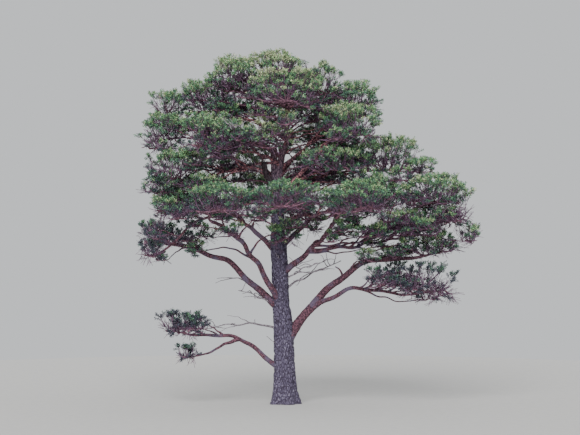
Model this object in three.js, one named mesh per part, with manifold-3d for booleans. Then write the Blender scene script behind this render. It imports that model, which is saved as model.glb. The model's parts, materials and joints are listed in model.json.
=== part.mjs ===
// An old Scots pine that grew in the open: a stout stem, great crooked boughs, and foliage in flat plates.
// Millimetres, +Z up. The origin is the middle of the flat cut at the ground, and the front faces -Y.
import * as THREE from 'three';
import { mergeVertices } from 'three/addons/utils/BufferGeometryUtils.js';
import Module from 'manifold-3d';

const wasm = await Module();
wasm.setup();

// Clearance where two pieces meet, and the room that sprays keep from limbs, other masses and each other.
const GAP = 0.3;
const LEAF_ROOM = 20;

// The finest detail that is kept: where a limb is cut, and where sprays fuse.
const SMALLEST_EDGE = 0.05;
const SMALLEST_FOLD = 12;

// The stem at rising heights: how far its middle leans to the right and to the back, and its radius.
const TRUNK_STATIONS = [
  { height: 0, right: 0, back: 0, radius: 545 },
  { height: 1600, right: -30, back: 20, radius: 515 },
  { height: 3800, right: -85, back: 30, radius: 480 },
  { height: 5300, right: -215, back: 0, radius: 415 },
  { height: 6900, right: -265, back: -30, radius: 412 },
  { height: 8400, right: -350, back: -20, radius: 370 },
  { height: 10000, right: -370, back: 40, radius: 285 },
  { height: 11200, right: -345, back: 60, radius: 215 },
  { height: 12400, right: -160, back: 30, radius: 165 },
  { height: 13500, right: 180, back: -40, radius: 120 },
  { height: 13950, right: -90, back: 0, radius: 105 },
  { height: 14600, right: 190, back: 60, radius: 85 },
  { height: 15900, right: -60, back: 20, radius: 40 },
];
const TRUNK_SIDES = 14;
const TRUNK_RING_STEP = 700;

// The root flare: how much wider the foot is, how fast that fades with height, and its swellings.
const FLARE = 230;
const FLARE_FADE = 620;
const FLARE_LOBES = 5;
const FLARE_LOBE_DEPTH = 0.45;

// Each bough grows from the trunk at a height, or from another limb at a share of its length. Its bearing is
// in degrees from the right, turning to the back. The tip lies `reach` out and `rise` up from the start.
// `leave` and `arrive` are its slopes at root and tip, and `root` and `tip` its radii there.
const BOUGHS = [
  { name: 'bough_lowest_left', from: 'trunk', at: 1450, bearing: 184, reach: 4350, rise: 2000,
    leave: 46, arrive: -6, root: 140, tip: 70 },
  { name: 'bough_left_low', from: 'trunk', at: 4650, bearing: 186, reach: 5750, rise: 3400,
    leave: 43, arrive: 6, root: 190, tip: 95 },
  { name: 'bough_left_inner', from: 'trunk', at: 4950, bearing: 222, reach: 4550, rise: 4250,
    leave: 53, arrive: 20, root: 165, tip: 85 },
  { name: 'bough_left_drooping', from: 'trunk', at: 9950, bearing: 206, reach: 6300, rise: -2250,
    leave: 10, arrive: -38, root: 100, tip: 50 },
  { name: 'bough_left_mid', from: 'trunk', at: 10500, bearing: 184, reach: 4050, rise: -950,
    leave: 8, arrive: -10, root: 105, tip: 55 },
  { name: 'snag', from: 'trunk', at: 10750, bearing: 205, reach: 760, rise: 1350,
    leave: 38, arrive: 84, root: 150, tip: 140 },
  { name: 'bough_left_tier', from: 'snag', at: 0.62, bearing: 192, reach: 3250, rise: -350,
    leave: 32, arrive: -20, root: 85, tip: 48 },
  { name: 'bough_left_front', from: 'trunk', at: 11900, bearing: 222, reach: 2800, rise: 800,
    leave: 34, arrive: 8, root: 90, tip: 48 },
  { name: 'bough_left_edge', from: 'trunk', at: 12350, bearing: 181, reach: 4700, rise: 950,
    leave: 30, arrive: 2, root: 95, tip: 50 },
  { name: 'bough_left_shoulder', from: 'trunk', at: 13150, bearing: 172, reach: 2700, rise: 1350,
    leave: 38, arrive: 20, root: 85, tip: 46 },
  { name: 'bough_right_low', from: 'trunk', at: 2950, bearing: 356, reach: 6300, rise: 4350,
    leave: 56, arrive: -2, root: 265, tip: 95 },
  { name: 'bough_right_arching', from: 'bough_right_low', at: 0.17, bearing: 349, reach: 4900, rise: 1250,
    leave: 44, arrive: -14, root: 150, tip: 65 },
  { name: 'bough_right_mid', from: 'trunk', at: 6450, bearing: 340, reach: 3150, rise: 3050,
    leave: 38, arrive: 56, root: 165, tip: 90 },
  { name: 'bough_right_wide', from: 'bough_right_mid', at: 0.42, bearing: 353, reach: 4700, rise: 1700,
    leave: 4, arrive: 44, root: 100, tip: 55 },
  { name: 'bough_right_far', from: 'bough_right_wide', at: 0.55, bearing: 4, reach: 3350, rise: 850,
    leave: 2, arrive: 24, root: 65, tip: 45 },
  { name: 'bough_right_upper', from: 'trunk', at: 10700, bearing: 10, reach: 3950, rise: 850,
    leave: 30, arrive: 6, root: 100, tip: 54 },
  { name: 'bough_right_rising', from: 'trunk', at: 10000, bearing: 328, reach: 2850, rise: 3000,
    leave: 50, arrive: 48, root: 140, tip: 70 },
  { name: 'bough_right_shoulder', from: 'trunk', at: 11650, bearing: 18, reach: 2350, rise: 2300,
    leave: 44, arrive: 58, root: 105, tip: 55 },
  { name: 'bough_front_right', from: 'trunk', at: 8800, bearing: 314, reach: 4300, rise: 850,
    leave: 26, arrive: 4, root: 105, tip: 56 },
  { name: 'bough_back_low_left', from: 'trunk', at: 7350, bearing: 141, reach: 4300, rise: 2300,
    leave: 44, arrive: 12, root: 145, tip: 70 },
  { name: 'bough_back_low', from: 'trunk', at: 8250, bearing: 94, reach: 4200, rise: 1500,
    leave: 38, arrive: 8, root: 125, tip: 65 },
  { name: 'bough_back_low_right', from: 'trunk', at: 7700, bearing: 44, reach: 4900, rise: 1900,
    leave: 40, arrive: 10, root: 140, tip: 68 },
  { name: 'bough_back_mid_left', from: 'trunk', at: 11050, bearing: 126, reach: 3000, rise: 1450,
    leave: 38, arrive: 16, root: 100, tip: 52 },
  { name: 'bough_back_mid_right', from: 'trunk', at: 11250, bearing: 58, reach: 3100, rise: 1450,
    leave: 38, arrive: 16, root: 100, tip: 52 },
  { name: 'dead_branch_left', from: 'trunk', at: 3700, bearing: 179, reach: 3700, rise: 60,
    leave: 14, arrive: -14, root: 60, tip: 22 },
  { name: 'dead_branch_right', from: 'trunk', at: 5500, bearing: 6, reach: 3050, rise: 1650,
    leave: 42, arrive: 26, root: 58, tip: 20 },
];
const BOUGH_SIDES = 6;
const BOUGH_RINGS = 9;
const HANDLE_SHARE = 0.42;
const TAPER = 0.75;
const COLLAR = 0.45;
const COLLAR_LENGTH = 420;

// A limb's wander, as a share of its length: how many turns it makes sideways and up, and how much less up.
const WANDER = 0.022;
const TURNS_ASIDE = 7;
const TURNS_UP = 11;
const WANDER_UP = 0.6;
const FIRST_LIMB_SEED = 101;

// Each mass is a plate of foliage that fills a flat dome: half its length, its width and its height are
// `long`, `wide` and `high`. It starts from its bough's tip, or from the trunk at a height, and heads along
// the bough's bearing with a turn. Its middle lies `out` from the seat, or most of `long`, and `lift` above.
const MASSES = [
  { name: 'foliage_lowest_left', on: 'bough_lowest_left', turn: 0,
    lift: 420, long: 1150, wide: 1100, high: 750 },
  { name: 'foliage_left_low', on: 'bough_left_low', turn: -6,
    lift: 300, long: 850, wide: 1200, high: 850 },
  { name: 'foliage_left_drooping', on: 'bough_left_drooping', turn: 0,
    lift: 0, long: 720, wide: 900, high: 620 },
  { name: 'foliage_left_mid', on: 'bough_left_mid', turn: 0,
    lift: 300, long: 1300, wide: 1600, high: 1150 },
  { name: 'foliage_left_tier', on: 'bough_left_tier', turn: -6,
    lift: 500, long: 1700, wide: 1650, high: 1050 },
  { name: 'foliage_left_front', on: 'bough_left_front', turn: -16,
    lift: 500, long: 1700, wide: 1550, high: 1250 },
  { name: 'foliage_left_edge', on: 'bough_left_edge', turn: 6, seat: 0.5,
    lift: 200, long: 1320, wide: 1600, high: 1150 },
  { name: 'foliage_left_far', on: 'bough_left_edge', turn: -22, seat: -0.5,
    lift: 1420, long: 1150, wide: 1300, high: 900 },
  { name: 'foliage_left_shoulder', on: 'bough_left_shoulder', turn: 8,
    lift: 420, long: 1550, wide: 1650, high: 1300 },
  { name: 'foliage_front_left', on: 'bough_left_inner', turn: 62,
    lift: 850, long: 1650, wide: 1700, high: 900 },
  { name: 'foliage_front', on: 'trunk', at: 9250, bearing: 273, out: 4000,
    lift: 950, long: 1700, wide: 2050, high: 900 },
  { name: 'foliage_front_right', on: 'bough_front_right', turn: -4,
    lift: 520, long: 1800, wide: 1750, high: 920 },
  { name: 'foliage_front_upper', on: 'trunk', at: 12350, bearing: 258, out: 1950,
    lift: 1280, long: 1300, wide: 1350, high: 1100 },
  { name: 'foliage_stem_clump', on: 'trunk', at: 7950, bearing: 282, out: 1250,
    lift: 550, long: 800, wide: 1080, high: 620 },
  { name: 'foliage_right_low', on: 'bough_right_low', turn: 6,
    lift: 500, long: 1550, wide: 1350, high: 620 },
  { name: 'foliage_right_arching', on: 'bough_right_arching', turn: 8,
    lift: 450, long: 1750, wide: 1500, high: 1050 },
  { name: 'foliage_right_inner', on: 'bough_right_mid', turn: 10,
    lift: 980, long: 1750, wide: 1550, high: 950 },
  { name: 'foliage_right_wide', on: 'bough_right_wide', turn: -4,
    lift: 1100, long: 1800, wide: 1750, high: 1050 },
  { name: 'foliage_right_far', on: 'bough_right_far', turn: 4,
    lift: 620, long: 1250, wide: 1600, high: 1350 },
  { name: 'foliage_right_upper', on: 'bough_right_upper', turn: 0,
    lift: 480, long: 1950, wide: 1850, high: 1200 },
  { name: 'foliage_right_middle', on: 'trunk', at: 11250, bearing: 322, out: 3300,
    lift: 780, long: 1800, wide: 1500, high: 750 },
  { name: 'foliage_right_rising', on: 'bough_right_rising', turn: 12,
    lift: 720, long: 1650, wide: 1550, high: 1150 },
  { name: 'foliage_right_shoulder', on: 'bough_right_shoulder', turn: -6,
    lift: 780, long: 1700, wide: 1700, high: 1350 },
  { name: 'foliage_back_low_left', on: 'bough_back_low_left', turn: 6,
    lift: 400, long: 1900, wide: 1850, high: 1100 },
  { name: 'foliage_back_low', on: 'bough_back_low', turn: 0,
    lift: 500, long: 1900, wide: 1950, high: 1100 },
  { name: 'foliage_back_low_right', on: 'bough_back_low_right', turn: -6,
    lift: 450, long: 1950, wide: 1900, high: 1100 },
  { name: 'foliage_back_mid_left', on: 'bough_back_mid_left', turn: 4,
    lift: 500, long: 1850, wide: 1850, high: 1300 },
  { name: 'foliage_back_mid_right', on: 'bough_back_mid_right', turn: 0,
    lift: 500, long: 1850, wide: 1900, high: 1300 },
  { name: 'foliage_top_front', on: 'trunk', at: 13900, bearing: 274, out: 2300,
    lift: 1500, long: 1650, wide: 1950, high: 1200 },
  { name: 'foliage_top_left', on: 'trunk', at: 14300, bearing: 186, out: 2450,
    lift: 1720, long: 1500, wide: 1650, high: 1250 },
  { name: 'foliage_top_right', on: 'trunk', at: 14700, bearing: 345, out: 1500,
    lift: 1080, long: 1400, wide: 1600, high: 1150 },
  { name: 'foliage_top_back', on: 'trunk', at: 14100, bearing: 84, out: 2450,
    lift: 1300, long: 1650, wide: 2000, high: 1300 },
  { name: 'foliage_top', on: 'trunk', at: 15500, bearing: 170, out: 650,
    lift: 950, long: 1350, wide: 1550, high: 1150 },
];
const OUT_SHARE = 0.82;
const SPACE_SLACK = 1.3;
const FIRST_MASS_SEED = 501;

// The stem of a mass. On the trunk it leaves at a slope, in degrees. On a limb's tip it is thinner than
// the tip, and thinner still where two share one. It runs under the dome and ends past its middle.
const TRUNK_LEAVE = 50;
const TIP_SHARE = 0.8;
const SHARED_TIP_SHARE = 0.44;
const UNDER_SHARE = 0.25;
const FAR_SHARE = 0.5;
const STEM_HANDLE = 0.4;

// A stem's rings and joints, the radii of stems and twigs, and what makes a joint a poor one for a twig.
const STEM_RINGS = 5;
const STEM_JOINTS = [0.3, 0.42, 0.57, 0.68, 0.81, 0.93];
const STEM_TIP_RADIUS = 26;
const TRUNK_STEM_RADIUS = 46;
const TWIG_RADIUS = 20;
const TWIG_SHARE = 0.8;
const TWIG_TIP_RADIUS = 13;
const TWIG_SIDES = 3;
const TURN_COST = 1.7;
const BACK_ALONG = 0.15;
const REUSE_COST = 160;

// A spray of needles is a toothed blade. Its teeth are given in shares of its length and width.
const SPRAY_TEETH = [[0.28, 0.5], [0.47, 0.27], [0.78, 0.42]];
const SPRAY_RIDGE = 0.45;
const SPRAY_THICKNESS = 0.11;
const SPRAY_WIDTH = 1.1;
const SPRAY_COVER = 1.5;
const SPRAY_SIZES = [1, 0.86, 0.72, 0.58, 0.46];
const LEAST_ROLL = 35;
const MOST_ROLL = 72;
const TILT_SPREAD = 16;

// The sprays stand in two layers of the dome, the cap and the underside. `density` counts them for each
// square metre. The layer rises over the dome's middle and drops to its rim, and its sprays tilt with it.
const LAYERS = [
  { density: 0.74, fewest: 5, rise: 0.86, drop: 0.18, middleTilt: 46, rimTilt: 6 },
  { density: 0.34, fewest: 2, rise: 0.3, drop: 0.5, middleTilt: 18, rimTilt: -12 },
];
const RIM_SHARE = 0.32;
const GOLDEN_TURN = Math.PI * (3 - Math.sqrt(5));

const TRUNK_BARK = { color: 0x5f5560, roughness: 0.95, metalness: 0 };
const BOUGH_BARK = { color: 0x7d4640, roughness: 0.9, metalness: 0 };
const DEAD_WOOD = { color: 0x77716f, roughness: 0.95, metalness: 0 };
const NEEDLES = { color: 0x3f6a4d, roughness: 0.85, metalness: 0 };

const UP = new THREE.Vector3(0, 0, 1);

/** Steady numbers from 0 to 1 that are the same on each run. */
function seeded(seed) {
  let state = seed >>> 0;
  return () => {
    state = (state + 0x6d2b79f5) >>> 0;
    let mixed = Math.imul(state ^ (state >>> 15), state | 1);
    mixed ^= mixed + Math.imul(mixed ^ (mixed >>> 7), mixed | 61);
    return ((mixed ^ (mixed >>> 14)) >>> 0) / 4294967296;
  };
}

/** A smooth value of one column of the trunk's stations at a height. */
function trunkValue(column, height) {
  const last = TRUNK_STATIONS.length - 1;
  let at = 0;
  while (at < last - 1 && height > TRUNK_STATIONS[at + 1].height) at += 1;
  const slopeAt = (index) => {
    const before = TRUNK_STATIONS[Math.max(index - 1, 0)];
    const after = TRUNK_STATIONS[Math.min(index + 1, last)];
    return (after[column] - before[column]) / (after.height - before.height);
  };
  const low = TRUNK_STATIONS[at];
  const high = TRUNK_STATIONS[at + 1];
  const span = high.height - low.height;
  const share = Math.min(Math.max((height - low.height) / span, 0), 1);
  const ease = share * share * (3 - 2 * share);
  const pull = share * (1 - share) * span;
  return THREE.MathUtils.lerp(low[column], high[column], ease)
    + pull * ((1 - share) * slopeAt(at) - share * slopeAt(at + 1));
}

function trunkMiddle(height) {
  return new THREE.Vector3(trunkValue('right', height), trunkValue('back', height), height);
}

/** A closed solid through rings of equally many points, with flat fans over both ends. */
function loft(rings) {
  const count = rings[0].length;
  const positions = rings.flat().flatMap((point) => point.toArray());
  const index = [];
  for (let ring = 0; ring < rings.length - 1; ring += 1) {
    for (let side = 0; side < count; side += 1) {
      const next = (side + 1) % count;
      const here = ring * count;
      const there = here + count;
      index.push(here + side, here + next, there + next);
      index.push(here + side, there + next, there + side);
    }
  }
  const end = (rings.length - 1) * count;
  for (let side = 1; side < count - 1; side += 1) {
    index.push(0, side + 1, side);
    index.push(end, end + side, end + side + 1);
  }
  return solidOf(positions, index);
}

/** A solid from corner coordinates and triangles whose corners are shared. */
function solidOf(positions, index) {
  const geometry = new THREE.BufferGeometry();
  geometry.setAttribute('position', new THREE.Float32BufferAttribute(positions, 3));
  geometry.setIndex(index);
  const merged = mergeVertices(geometry, 1e-3);
  return new wasm.Manifold(new wasm.Mesh({
    numProp: 3,
    vertProperties: new Float32Array(merged.attributes.position.array),
    triVerts: new Uint32Array(merged.index.array),
  }));
}

/** A ring of points round a middle, square to a direction. `across` is level and square to it too. */
function ringRound(middle, direction, across, radius, sides, turn = 0) {
  const over = new THREE.Vector3().crossVectors(direction, across).normalize();
  const points = [];
  for (let side = 0; side < sides; side += 1) {
    const angle = turn + (2 * Math.PI * side) / sides;
    points.push(middle.clone()
      .addScaledVector(across, radius * Math.cos(angle))
      .addScaledVector(over, radius * Math.sin(angle)));
  }
  return points;
}

/** The stem, swollen by `extra`, from the flat cut at the ground to its tip. */
function trunkSolid(extra) {
  const top = TRUNK_STATIONS[TRUNK_STATIONS.length - 1].height;
  const steps = Math.round(top / TRUNK_RING_STEP);
  const rings = [];
  for (let step = 0; step <= steps; step += 1) {
    const height = (top * step) / steps;
    const middle = trunkMiddle(height);
    const flare = FLARE * Math.exp(-height / FLARE_FADE);
    const ring = [];
    for (let side = 0; side < TRUNK_SIDES; side += 1) {
      const angle = (2 * Math.PI * side) / TRUNK_SIDES;
      const lobes = 1 + FLARE_LOBE_DEPTH * Math.cos(FLARE_LOBES * angle);
      const radius = trunkValue('radius', height) + flare * lobes + extra;
      ring.push(level(THREE.MathUtils.radToDeg(angle)).multiplyScalar(radius).add(middle));
    }
    rings.push(ring);
  }
  return loft(rings);
}

function level(bearing) {
  const angle = THREE.MathUtils.degToRad(bearing);
  return new THREE.Vector3(Math.cos(angle), Math.sin(angle), 0);
}

function sloping(bearing, slope) {
  const angle = THREE.MathUtils.degToRad(slope);
  return level(bearing).multiplyScalar(Math.cos(angle)).addScaledVector(UP, Math.sin(angle));
}

/** A bough's middle line: one bend from its leaving slope to its arriving slope, with a slight wander. */
function boughPath(bough, start, random) {
  const tip = start.clone()
    .addScaledVector(level(bough.bearing), bough.reach)
    .addScaledVector(UP, bough.rise);
  const handle = HANDLE_SHARE * start.distanceTo(tip);
  const bend = new THREE.CubicBezierCurve3(
    start,
    start.clone().addScaledVector(sloping(bough.bearing, bough.leave), handle),
    tip.clone().addScaledVector(sloping(bough.bearing, bough.arrive), -handle),
    tip,
  );
  const size = WANDER * start.distanceTo(tip);
  const phase = 2 * Math.PI * random();
  const side = level(bough.bearing + 90);
  const pointAt = (share) => {
    const fade = Math.sin(Math.PI * share);
    return bend.getPoint(share)
      .addScaledVector(side, size * fade * Math.sin(TURNS_ASIDE * share + phase))
      .addScaledVector(UP, WANDER_UP * size * fade * Math.sin(TURNS_UP * share + 2 * phase));
  };
  return { pointAt, side, tip };
}

function directionAt(path, share) {
  const step = 0.01;
  const ahead = path.pointAt(Math.min(share + step, 1));
  return ahead.sub(path.pointAt(Math.max(share - step, 0))).normalize();
}

/** A tapering limb along its path, with a collar at its root. `extra` swells it all round. */
function boughSolid(bough, path, extra) {
  const length = path.pointAt(0).distanceTo(path.tip);
  const rings = [];
  for (let ring = 0; ring < BOUGH_RINGS; ring += 1) {
    const share = ring / (BOUGH_RINGS - 1);
    const collar = 1 + COLLAR * Math.exp((-share * length) / COLLAR_LENGTH);
    const radius = THREE.MathUtils.lerp(bough.root, bough.tip, share ** TAPER) * collar + extra;
    rings.push(ringRound(path.pointAt(share), directionAt(path, share), path.side, radius, BOUGH_SIDES));
  }
  return loft(rings);
}

/** The biggest body of a solid, without the scraps that a cut leaves. */
function biggest(solid) {
  return solid.decompose().sort((one, other) => other.volume() - one.volume())[0];
}

function boxOf(solid) {
  const { min, max } = solid.boundingBox();
  return new THREE.Box3(new THREE.Vector3(...min), new THREE.Vector3(...max));
}

/** Whether a solid keeps its room from every listed limb or mass. */
function isClear(solid, others) {
  const room = boxOf(solid).expandByScalar(LEAF_ROOM);
  const near = others.filter((other) => room.intersectsBox(other.box));
  return near.every((other) => solid.minGap(other.solid, LEAF_ROOM) >= LEAF_ROOM);
}

/** A place in a mass's own space: 0 at its middle, 1 at its outer skin. */
function depthIn(space, point) {
  const from = point.clone().sub(space.middle);
  const along = from.dot(space.heading) / space.long;
  const across = from.dot(space.across) / space.wide;
  return Math.hypot(along, across, from.z / space.high);
}

/** Where a mass starts, where its middle lies, and the way it heads. */
function spaceOf(mass, limbs) {
  const onTrunk = mass.on === 'trunk';
  const limb = limbs.get(mass.on);
  const bearing = onTrunk ? mass.bearing : limb.bearing + mass.turn;
  const heading = level(bearing);
  const across = level(bearing + 90);
  const start = onTrunk ? trunkMiddle(mass.at) : limb.path.tip.clone();
  const leaving = onTrunk ? sloping(bearing, TRUNK_LEAVE) : directionAt(limb.path, 1);
  const tipShare = mass.seat ? SHARED_TIP_SHARE : TIP_SHARE;
  const radius = onTrunk ? TRUNK_STEM_RADIUS : limb.tip * tipShare;
  if (!onTrunk) {
    start.addScaledVector(leaving, GAP);
    start.addScaledVector(limb.path.side, (mass.seat ?? 0) * limb.tip);
  }
  const out = mass.out ?? OUT_SHARE * mass.long;
  const middle = start.clone().addScaledVector(heading, out).addScaledVector(UP, mass.lift);
  const side = onTrunk ? across : limb.path.side;
  return { ...mass, bearing, start, leaving, radius, middle, heading, across, side };
}

/** The stem of a mass, from its seat through the lower part of its dome towards the far rim. */
function stemPath(space) {
  const under = space.middle.clone().addScaledVector(UP, -UNDER_SHARE * space.high);
  const far = under.clone().addScaledVector(space.heading, FAR_SHARE * space.long);
  const handle = STEM_HANDLE * space.start.distanceTo(under);
  const bend = new THREE.CubicBezierCurve3(
    space.start,
    space.start.clone().addScaledVector(space.leaving, handle),
    under,
    far,
  );
  return { pointAt: (share) => bend.getPoint(share), side: space.side, tip: far };
}

/** A three-sided twig that widens at its end into a toothed blade, as one closed solid. */
function spraySolid(joint, place, direction, roll, length) {
  const along = place.clone().sub(joint.point).normalize();
  const across = new THREE.Vector3().crossVectors(UP, direction).normalize();
  across.applyAxisAngle(direction, roll);
  const over = new THREE.Vector3().crossVectors(direction, across);
  const acrossRoot = across.clone().addScaledVector(along, -across.dot(along)).normalize();
  const rootRadius = Math.min(TWIG_RADIUS, TWIG_SHARE * joint.radius);
  const root = ringRound(joint.point, along, acrossRoot, rootRadius, TWIG_SIDES, Math.PI / 2);
  const neck = ringRound(place, direction, across, TWIG_TIP_RADIUS, TWIG_SIDES, Math.PI / 2);
  const width = SPRAY_WIDTH * length;
  const at = (forward, aside, above) => place.clone()
    .addScaledVector(direction, forward * length)
    .addScaledVector(across, aside * width)
    .addScaledVector(over, above * length);
  const rim = [
    ...SPRAY_TEETH.map(([forward, aside]) => at(forward, -aside, 0)),
    at(1, 0, 0),
    ...SPRAY_TEETH.map(([forward, aside]) => at(forward, aside, 0)).reverse(),
  ];
  const ridges = [at(SPRAY_RIDGE, 0, SPRAY_THICKNESS / 2), at(SPRAY_RIDGE, 0, -SPRAY_THICKNESS / 2)];
  const [top, right, left] = [3, 4, 5];
  const first = 6;
  const last = first + rim.length - 1;
  const above = last + 1;
  const below = above + 1;
  const index = [0, 2, 1];
  for (let side = 0; side < TWIG_SIDES; side += 1) {
    const next = (side + 1) % TWIG_SIDES;
    index.push(side, next, next + TWIG_SIDES, side, next + TWIG_SIDES, side + TWIG_SIDES);
  }
  index.push(top, first, above, top, right, first, top, above, last, top, last, left);
  index.push(right, below, first, right, left, below, left, last, below);
  for (let corner = first; corner < last; corner += 1) {
    index.push(corner, corner + 1, above);
    index.push(corner + 1, corner, below);
  }
  const points = [...root, ...neck, ...rim, ...ridges];
  return { solid: solidOf(points.flatMap((point) => point.toArray()), index), rim };
}

/** Evenly spread places on one layer of a mass's dome, each with the way that a spray there points. */
function layerTargets(space, layer, count, length, random) {
  const long = space.long - RIM_SHARE * length;
  const wide = space.wide - RIM_SHARE * length;
  const turn = 2 * Math.PI * random();
  const targets = [];
  for (let spray = 0; spray < count; spray += 1) {
    const rim = Math.sqrt((spray + 0.5) / count);
    const angle = turn + spray * GOLDEN_TURN;
    const spread = TILT_SPREAD * (random() - 0.5);
    const tilt = THREE.MathUtils.lerp(layer.middleTilt, layer.rimTilt, rim) + spread;
    const side = spray % 2 ? 1 : -1;
    const roll = side * THREE.MathUtils.lerp(LEAST_ROLL, MOST_ROLL, random());
    const target = space.middle.clone()
      .addScaledVector(space.heading, rim * long * Math.cos(angle))
      .addScaledVector(space.across, rim * wide * Math.sin(angle))
      .addScaledVector(UP, space.high * (layer.rise * Math.sqrt(1 - rim * rim) - layer.drop));
    const direction = sloping(space.bearing + THREE.MathUtils.radToDeg(angle), tilt);
    targets.push({ target, direction, roll: THREE.MathUtils.degToRad(roll), length });
  }
  return targets;
}

/** The places for the sprays of a mass, layer by layer, the nearest to its seat first. */
function sprayTargets(space, random) {
  const area = (Math.PI * space.long * space.wide) / 1e6;
  const counts = LAYERS.map((layer) => Math.max(layer.fewest, Math.round(area * layer.density)));
  const count = counts.reduce((sum, part) => sum + part);
  const length = SPRAY_COVER * 1000 * Math.sqrt(area / count);
  const far = ({ target }) => target.distanceTo(space.start);
  return LAYERS.flatMap((layer, order) => (
    layerTargets(space, layer, counts[order], length, random).sort((one, other) => far(one) - far(other))
  ));
}

/** The joint that a twig to a place leaves from: near, not far along, and without a sharp turn back. */
function bestJoint(joints, place, direction, start) {
  const cost = (joint) => {
    const reach = joint.point.distanceTo(place);
    const straight = place.clone().sub(joint.point).normalize().dot(direction);
    const back = BACK_ALONG * joint.point.distanceTo(start);
    return reach * (TURN_COST - straight) + back + REUSE_COST * joint.uses;
  };
  return joints.reduce((best, joint) => (cost(joint) < cost(best) ? joint : best));
}

/** The three-sided stem of a mass and the joints along it. */
function stemOf(space) {
  const stem = stemPath(space);
  const radiusAt = (share) => THREE.MathUtils.lerp(space.radius, STEM_TIP_RADIUS, share);
  const rings = [];
  const middles = [];
  for (let ring = 0; ring < STEM_RINGS; ring += 1) {
    const share = ring / (STEM_RINGS - 1);
    const direction = ring ? directionAt(stem, share) : space.leaving;
    middles.push(stem.pointAt(share));
    rings.push(ringRound(middles[ring], direction, stem.side, radiusAt(share), TWIG_SIDES));
  }
  const joints = STEM_JOINTS.map((share) => {
    const ring = Math.floor(share * (STEM_RINGS - 1));
    const point = middles[ring].clone().lerp(middles[ring + 1], share * (STEM_RINGS - 1) - ring);
    return { point, radius: radiusAt(share), uses: 0 };
  });
  const solid = loft(rings);
  return { solid, box: boxOf(solid), joints };
}

/** One mass: its stem, and a twig with a spray to each place that keeps to the mass's own space. */
function massSolid(space, spaces, stem, others, seed) {
  const random = seeded(seed);
  const pieces = [stem.solid];
  const wholes = [];
  const blades = [];
  const owns = (point) => {
    const depth = depthIn(space, point);
    const isInside = depth < SPACE_SLACK;
    return isInside && spaces.every((other) => other === space || depthIn(other, point) > depth);
  };
  for (const { target, direction, roll, length } of sprayTargets(space, random)) {
    for (const size of SPRAY_SIZES) {
      const place = target.clone().addScaledVector(direction, (-size * length) / 2);
      const joint = bestJoint(stem.joints, place, direction, space.start);
      const stub = { point: place.clone().addScaledVector(direction, -TWIG_RADIUS), radius: TWIG_RADIUS };
      const whole = spraySolid(joint, place, direction, roll, size * length);
      const blade = spraySolid(stub, place, direction, roll, size * length);
      const isApart = isClear(whole.solid, blades) && isClear(blade.solid, wholes);
      if (isApart && isClear(whole.solid, others) && whole.rim.every(owns)) {
        pieces.push(whole.solid);
        wholes.push({ solid: whole.solid, box: boxOf(whole.solid) });
        blades.push({ solid: blade.solid, box: boxOf(blade.solid) });
        joint.uses += 1;
        break;
      }
    }
  }
  return wasm.Manifold.union(pieces).simplify(SMALLEST_FOLD);
}

function nodeOf(name, solid, finish) {
  const mesh = solid.getMesh();
  const geometry = new THREE.BufferGeometry();
  geometry.setAttribute('position', new THREE.Float32BufferAttribute(mesh.vertProperties, 3));
  geometry.setIndex(new THREE.BufferAttribute(mesh.triVerts, 1));
  geometry.computeVertexNormals();
  const node = new THREE.Mesh(geometry, new THREE.MeshStandardMaterial(finish));
  node.name = name;
  return node;
}

const pine = new THREE.Group();
pine.name = 'scots_pine';

const trunk = trunkSolid(0);
const trunkCutter = trunkSolid(GAP);
pine.add(nodeOf('trunk', trunk, TRUNK_BARK));

const limbs = new Map();
const others = [{ solid: trunk, box: boxOf(trunk) }];
BOUGHS.forEach((bough, order) => {
  const parent = limbs.get(bough.from);
  const start = parent ? parent.path.pointAt(bough.at) : trunkMiddle(bough.at);
  const path = boughPath(bough, start, seeded(FIRST_LIMB_SEED + order));
  const cutter = parent ? boughSolid(parent, parent.path, GAP) : trunkCutter;
  const solid = biggest(boughSolid(bough, path, 0).subtract(cutter)).simplify(SMALLEST_EDGE);
  limbs.set(bough.name, { ...bough, path });
  others.push({ solid, box: boxOf(solid) });
  const isDead = bough.name === 'snag' || bough.name.startsWith('dead');
  pine.add(nodeOf(bough.name, solid, isDead ? DEAD_WOOD : BOUGH_BARK));
});

const spaces = MASSES.map((mass) => spaceOf(mass, limbs));
const stems = spaces.map(stemOf);
spaces.forEach((space, order) => {
  const taken = [...others, ...stems.filter((stem, place) => place !== order)];
  let solid = massSolid(space, spaces, stems[order], taken, FIRST_MASS_SEED + order);
  if (space.on === 'trunk') solid = solid.subtract(trunkCutter);
  solid = biggest(solid).simplify(SMALLEST_EDGE);
  others.push({ solid, box: boxOf(solid) });
  pine.add(nodeOf(space.name, solid, NEEDLES));
});

export default pine;
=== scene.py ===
"""An old Scots pine in soft studio light, on a plain pale floor.

The trunk and the boughs follow the same named sizes as the solids, in metres, with the relief of their bark.
Each mass of foliage is grown again by the seeded rule of the source and carried on to finer twigs: a stem,
branches, twigs, shoots, and tufts of needles along each shoot.
"""

import json
import logging
import math
from dataclasses import dataclass
from enum import Enum
from typing import Callable, Iterable, Sequence

import bpy
import numpy as np
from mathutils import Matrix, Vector, noise

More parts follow.
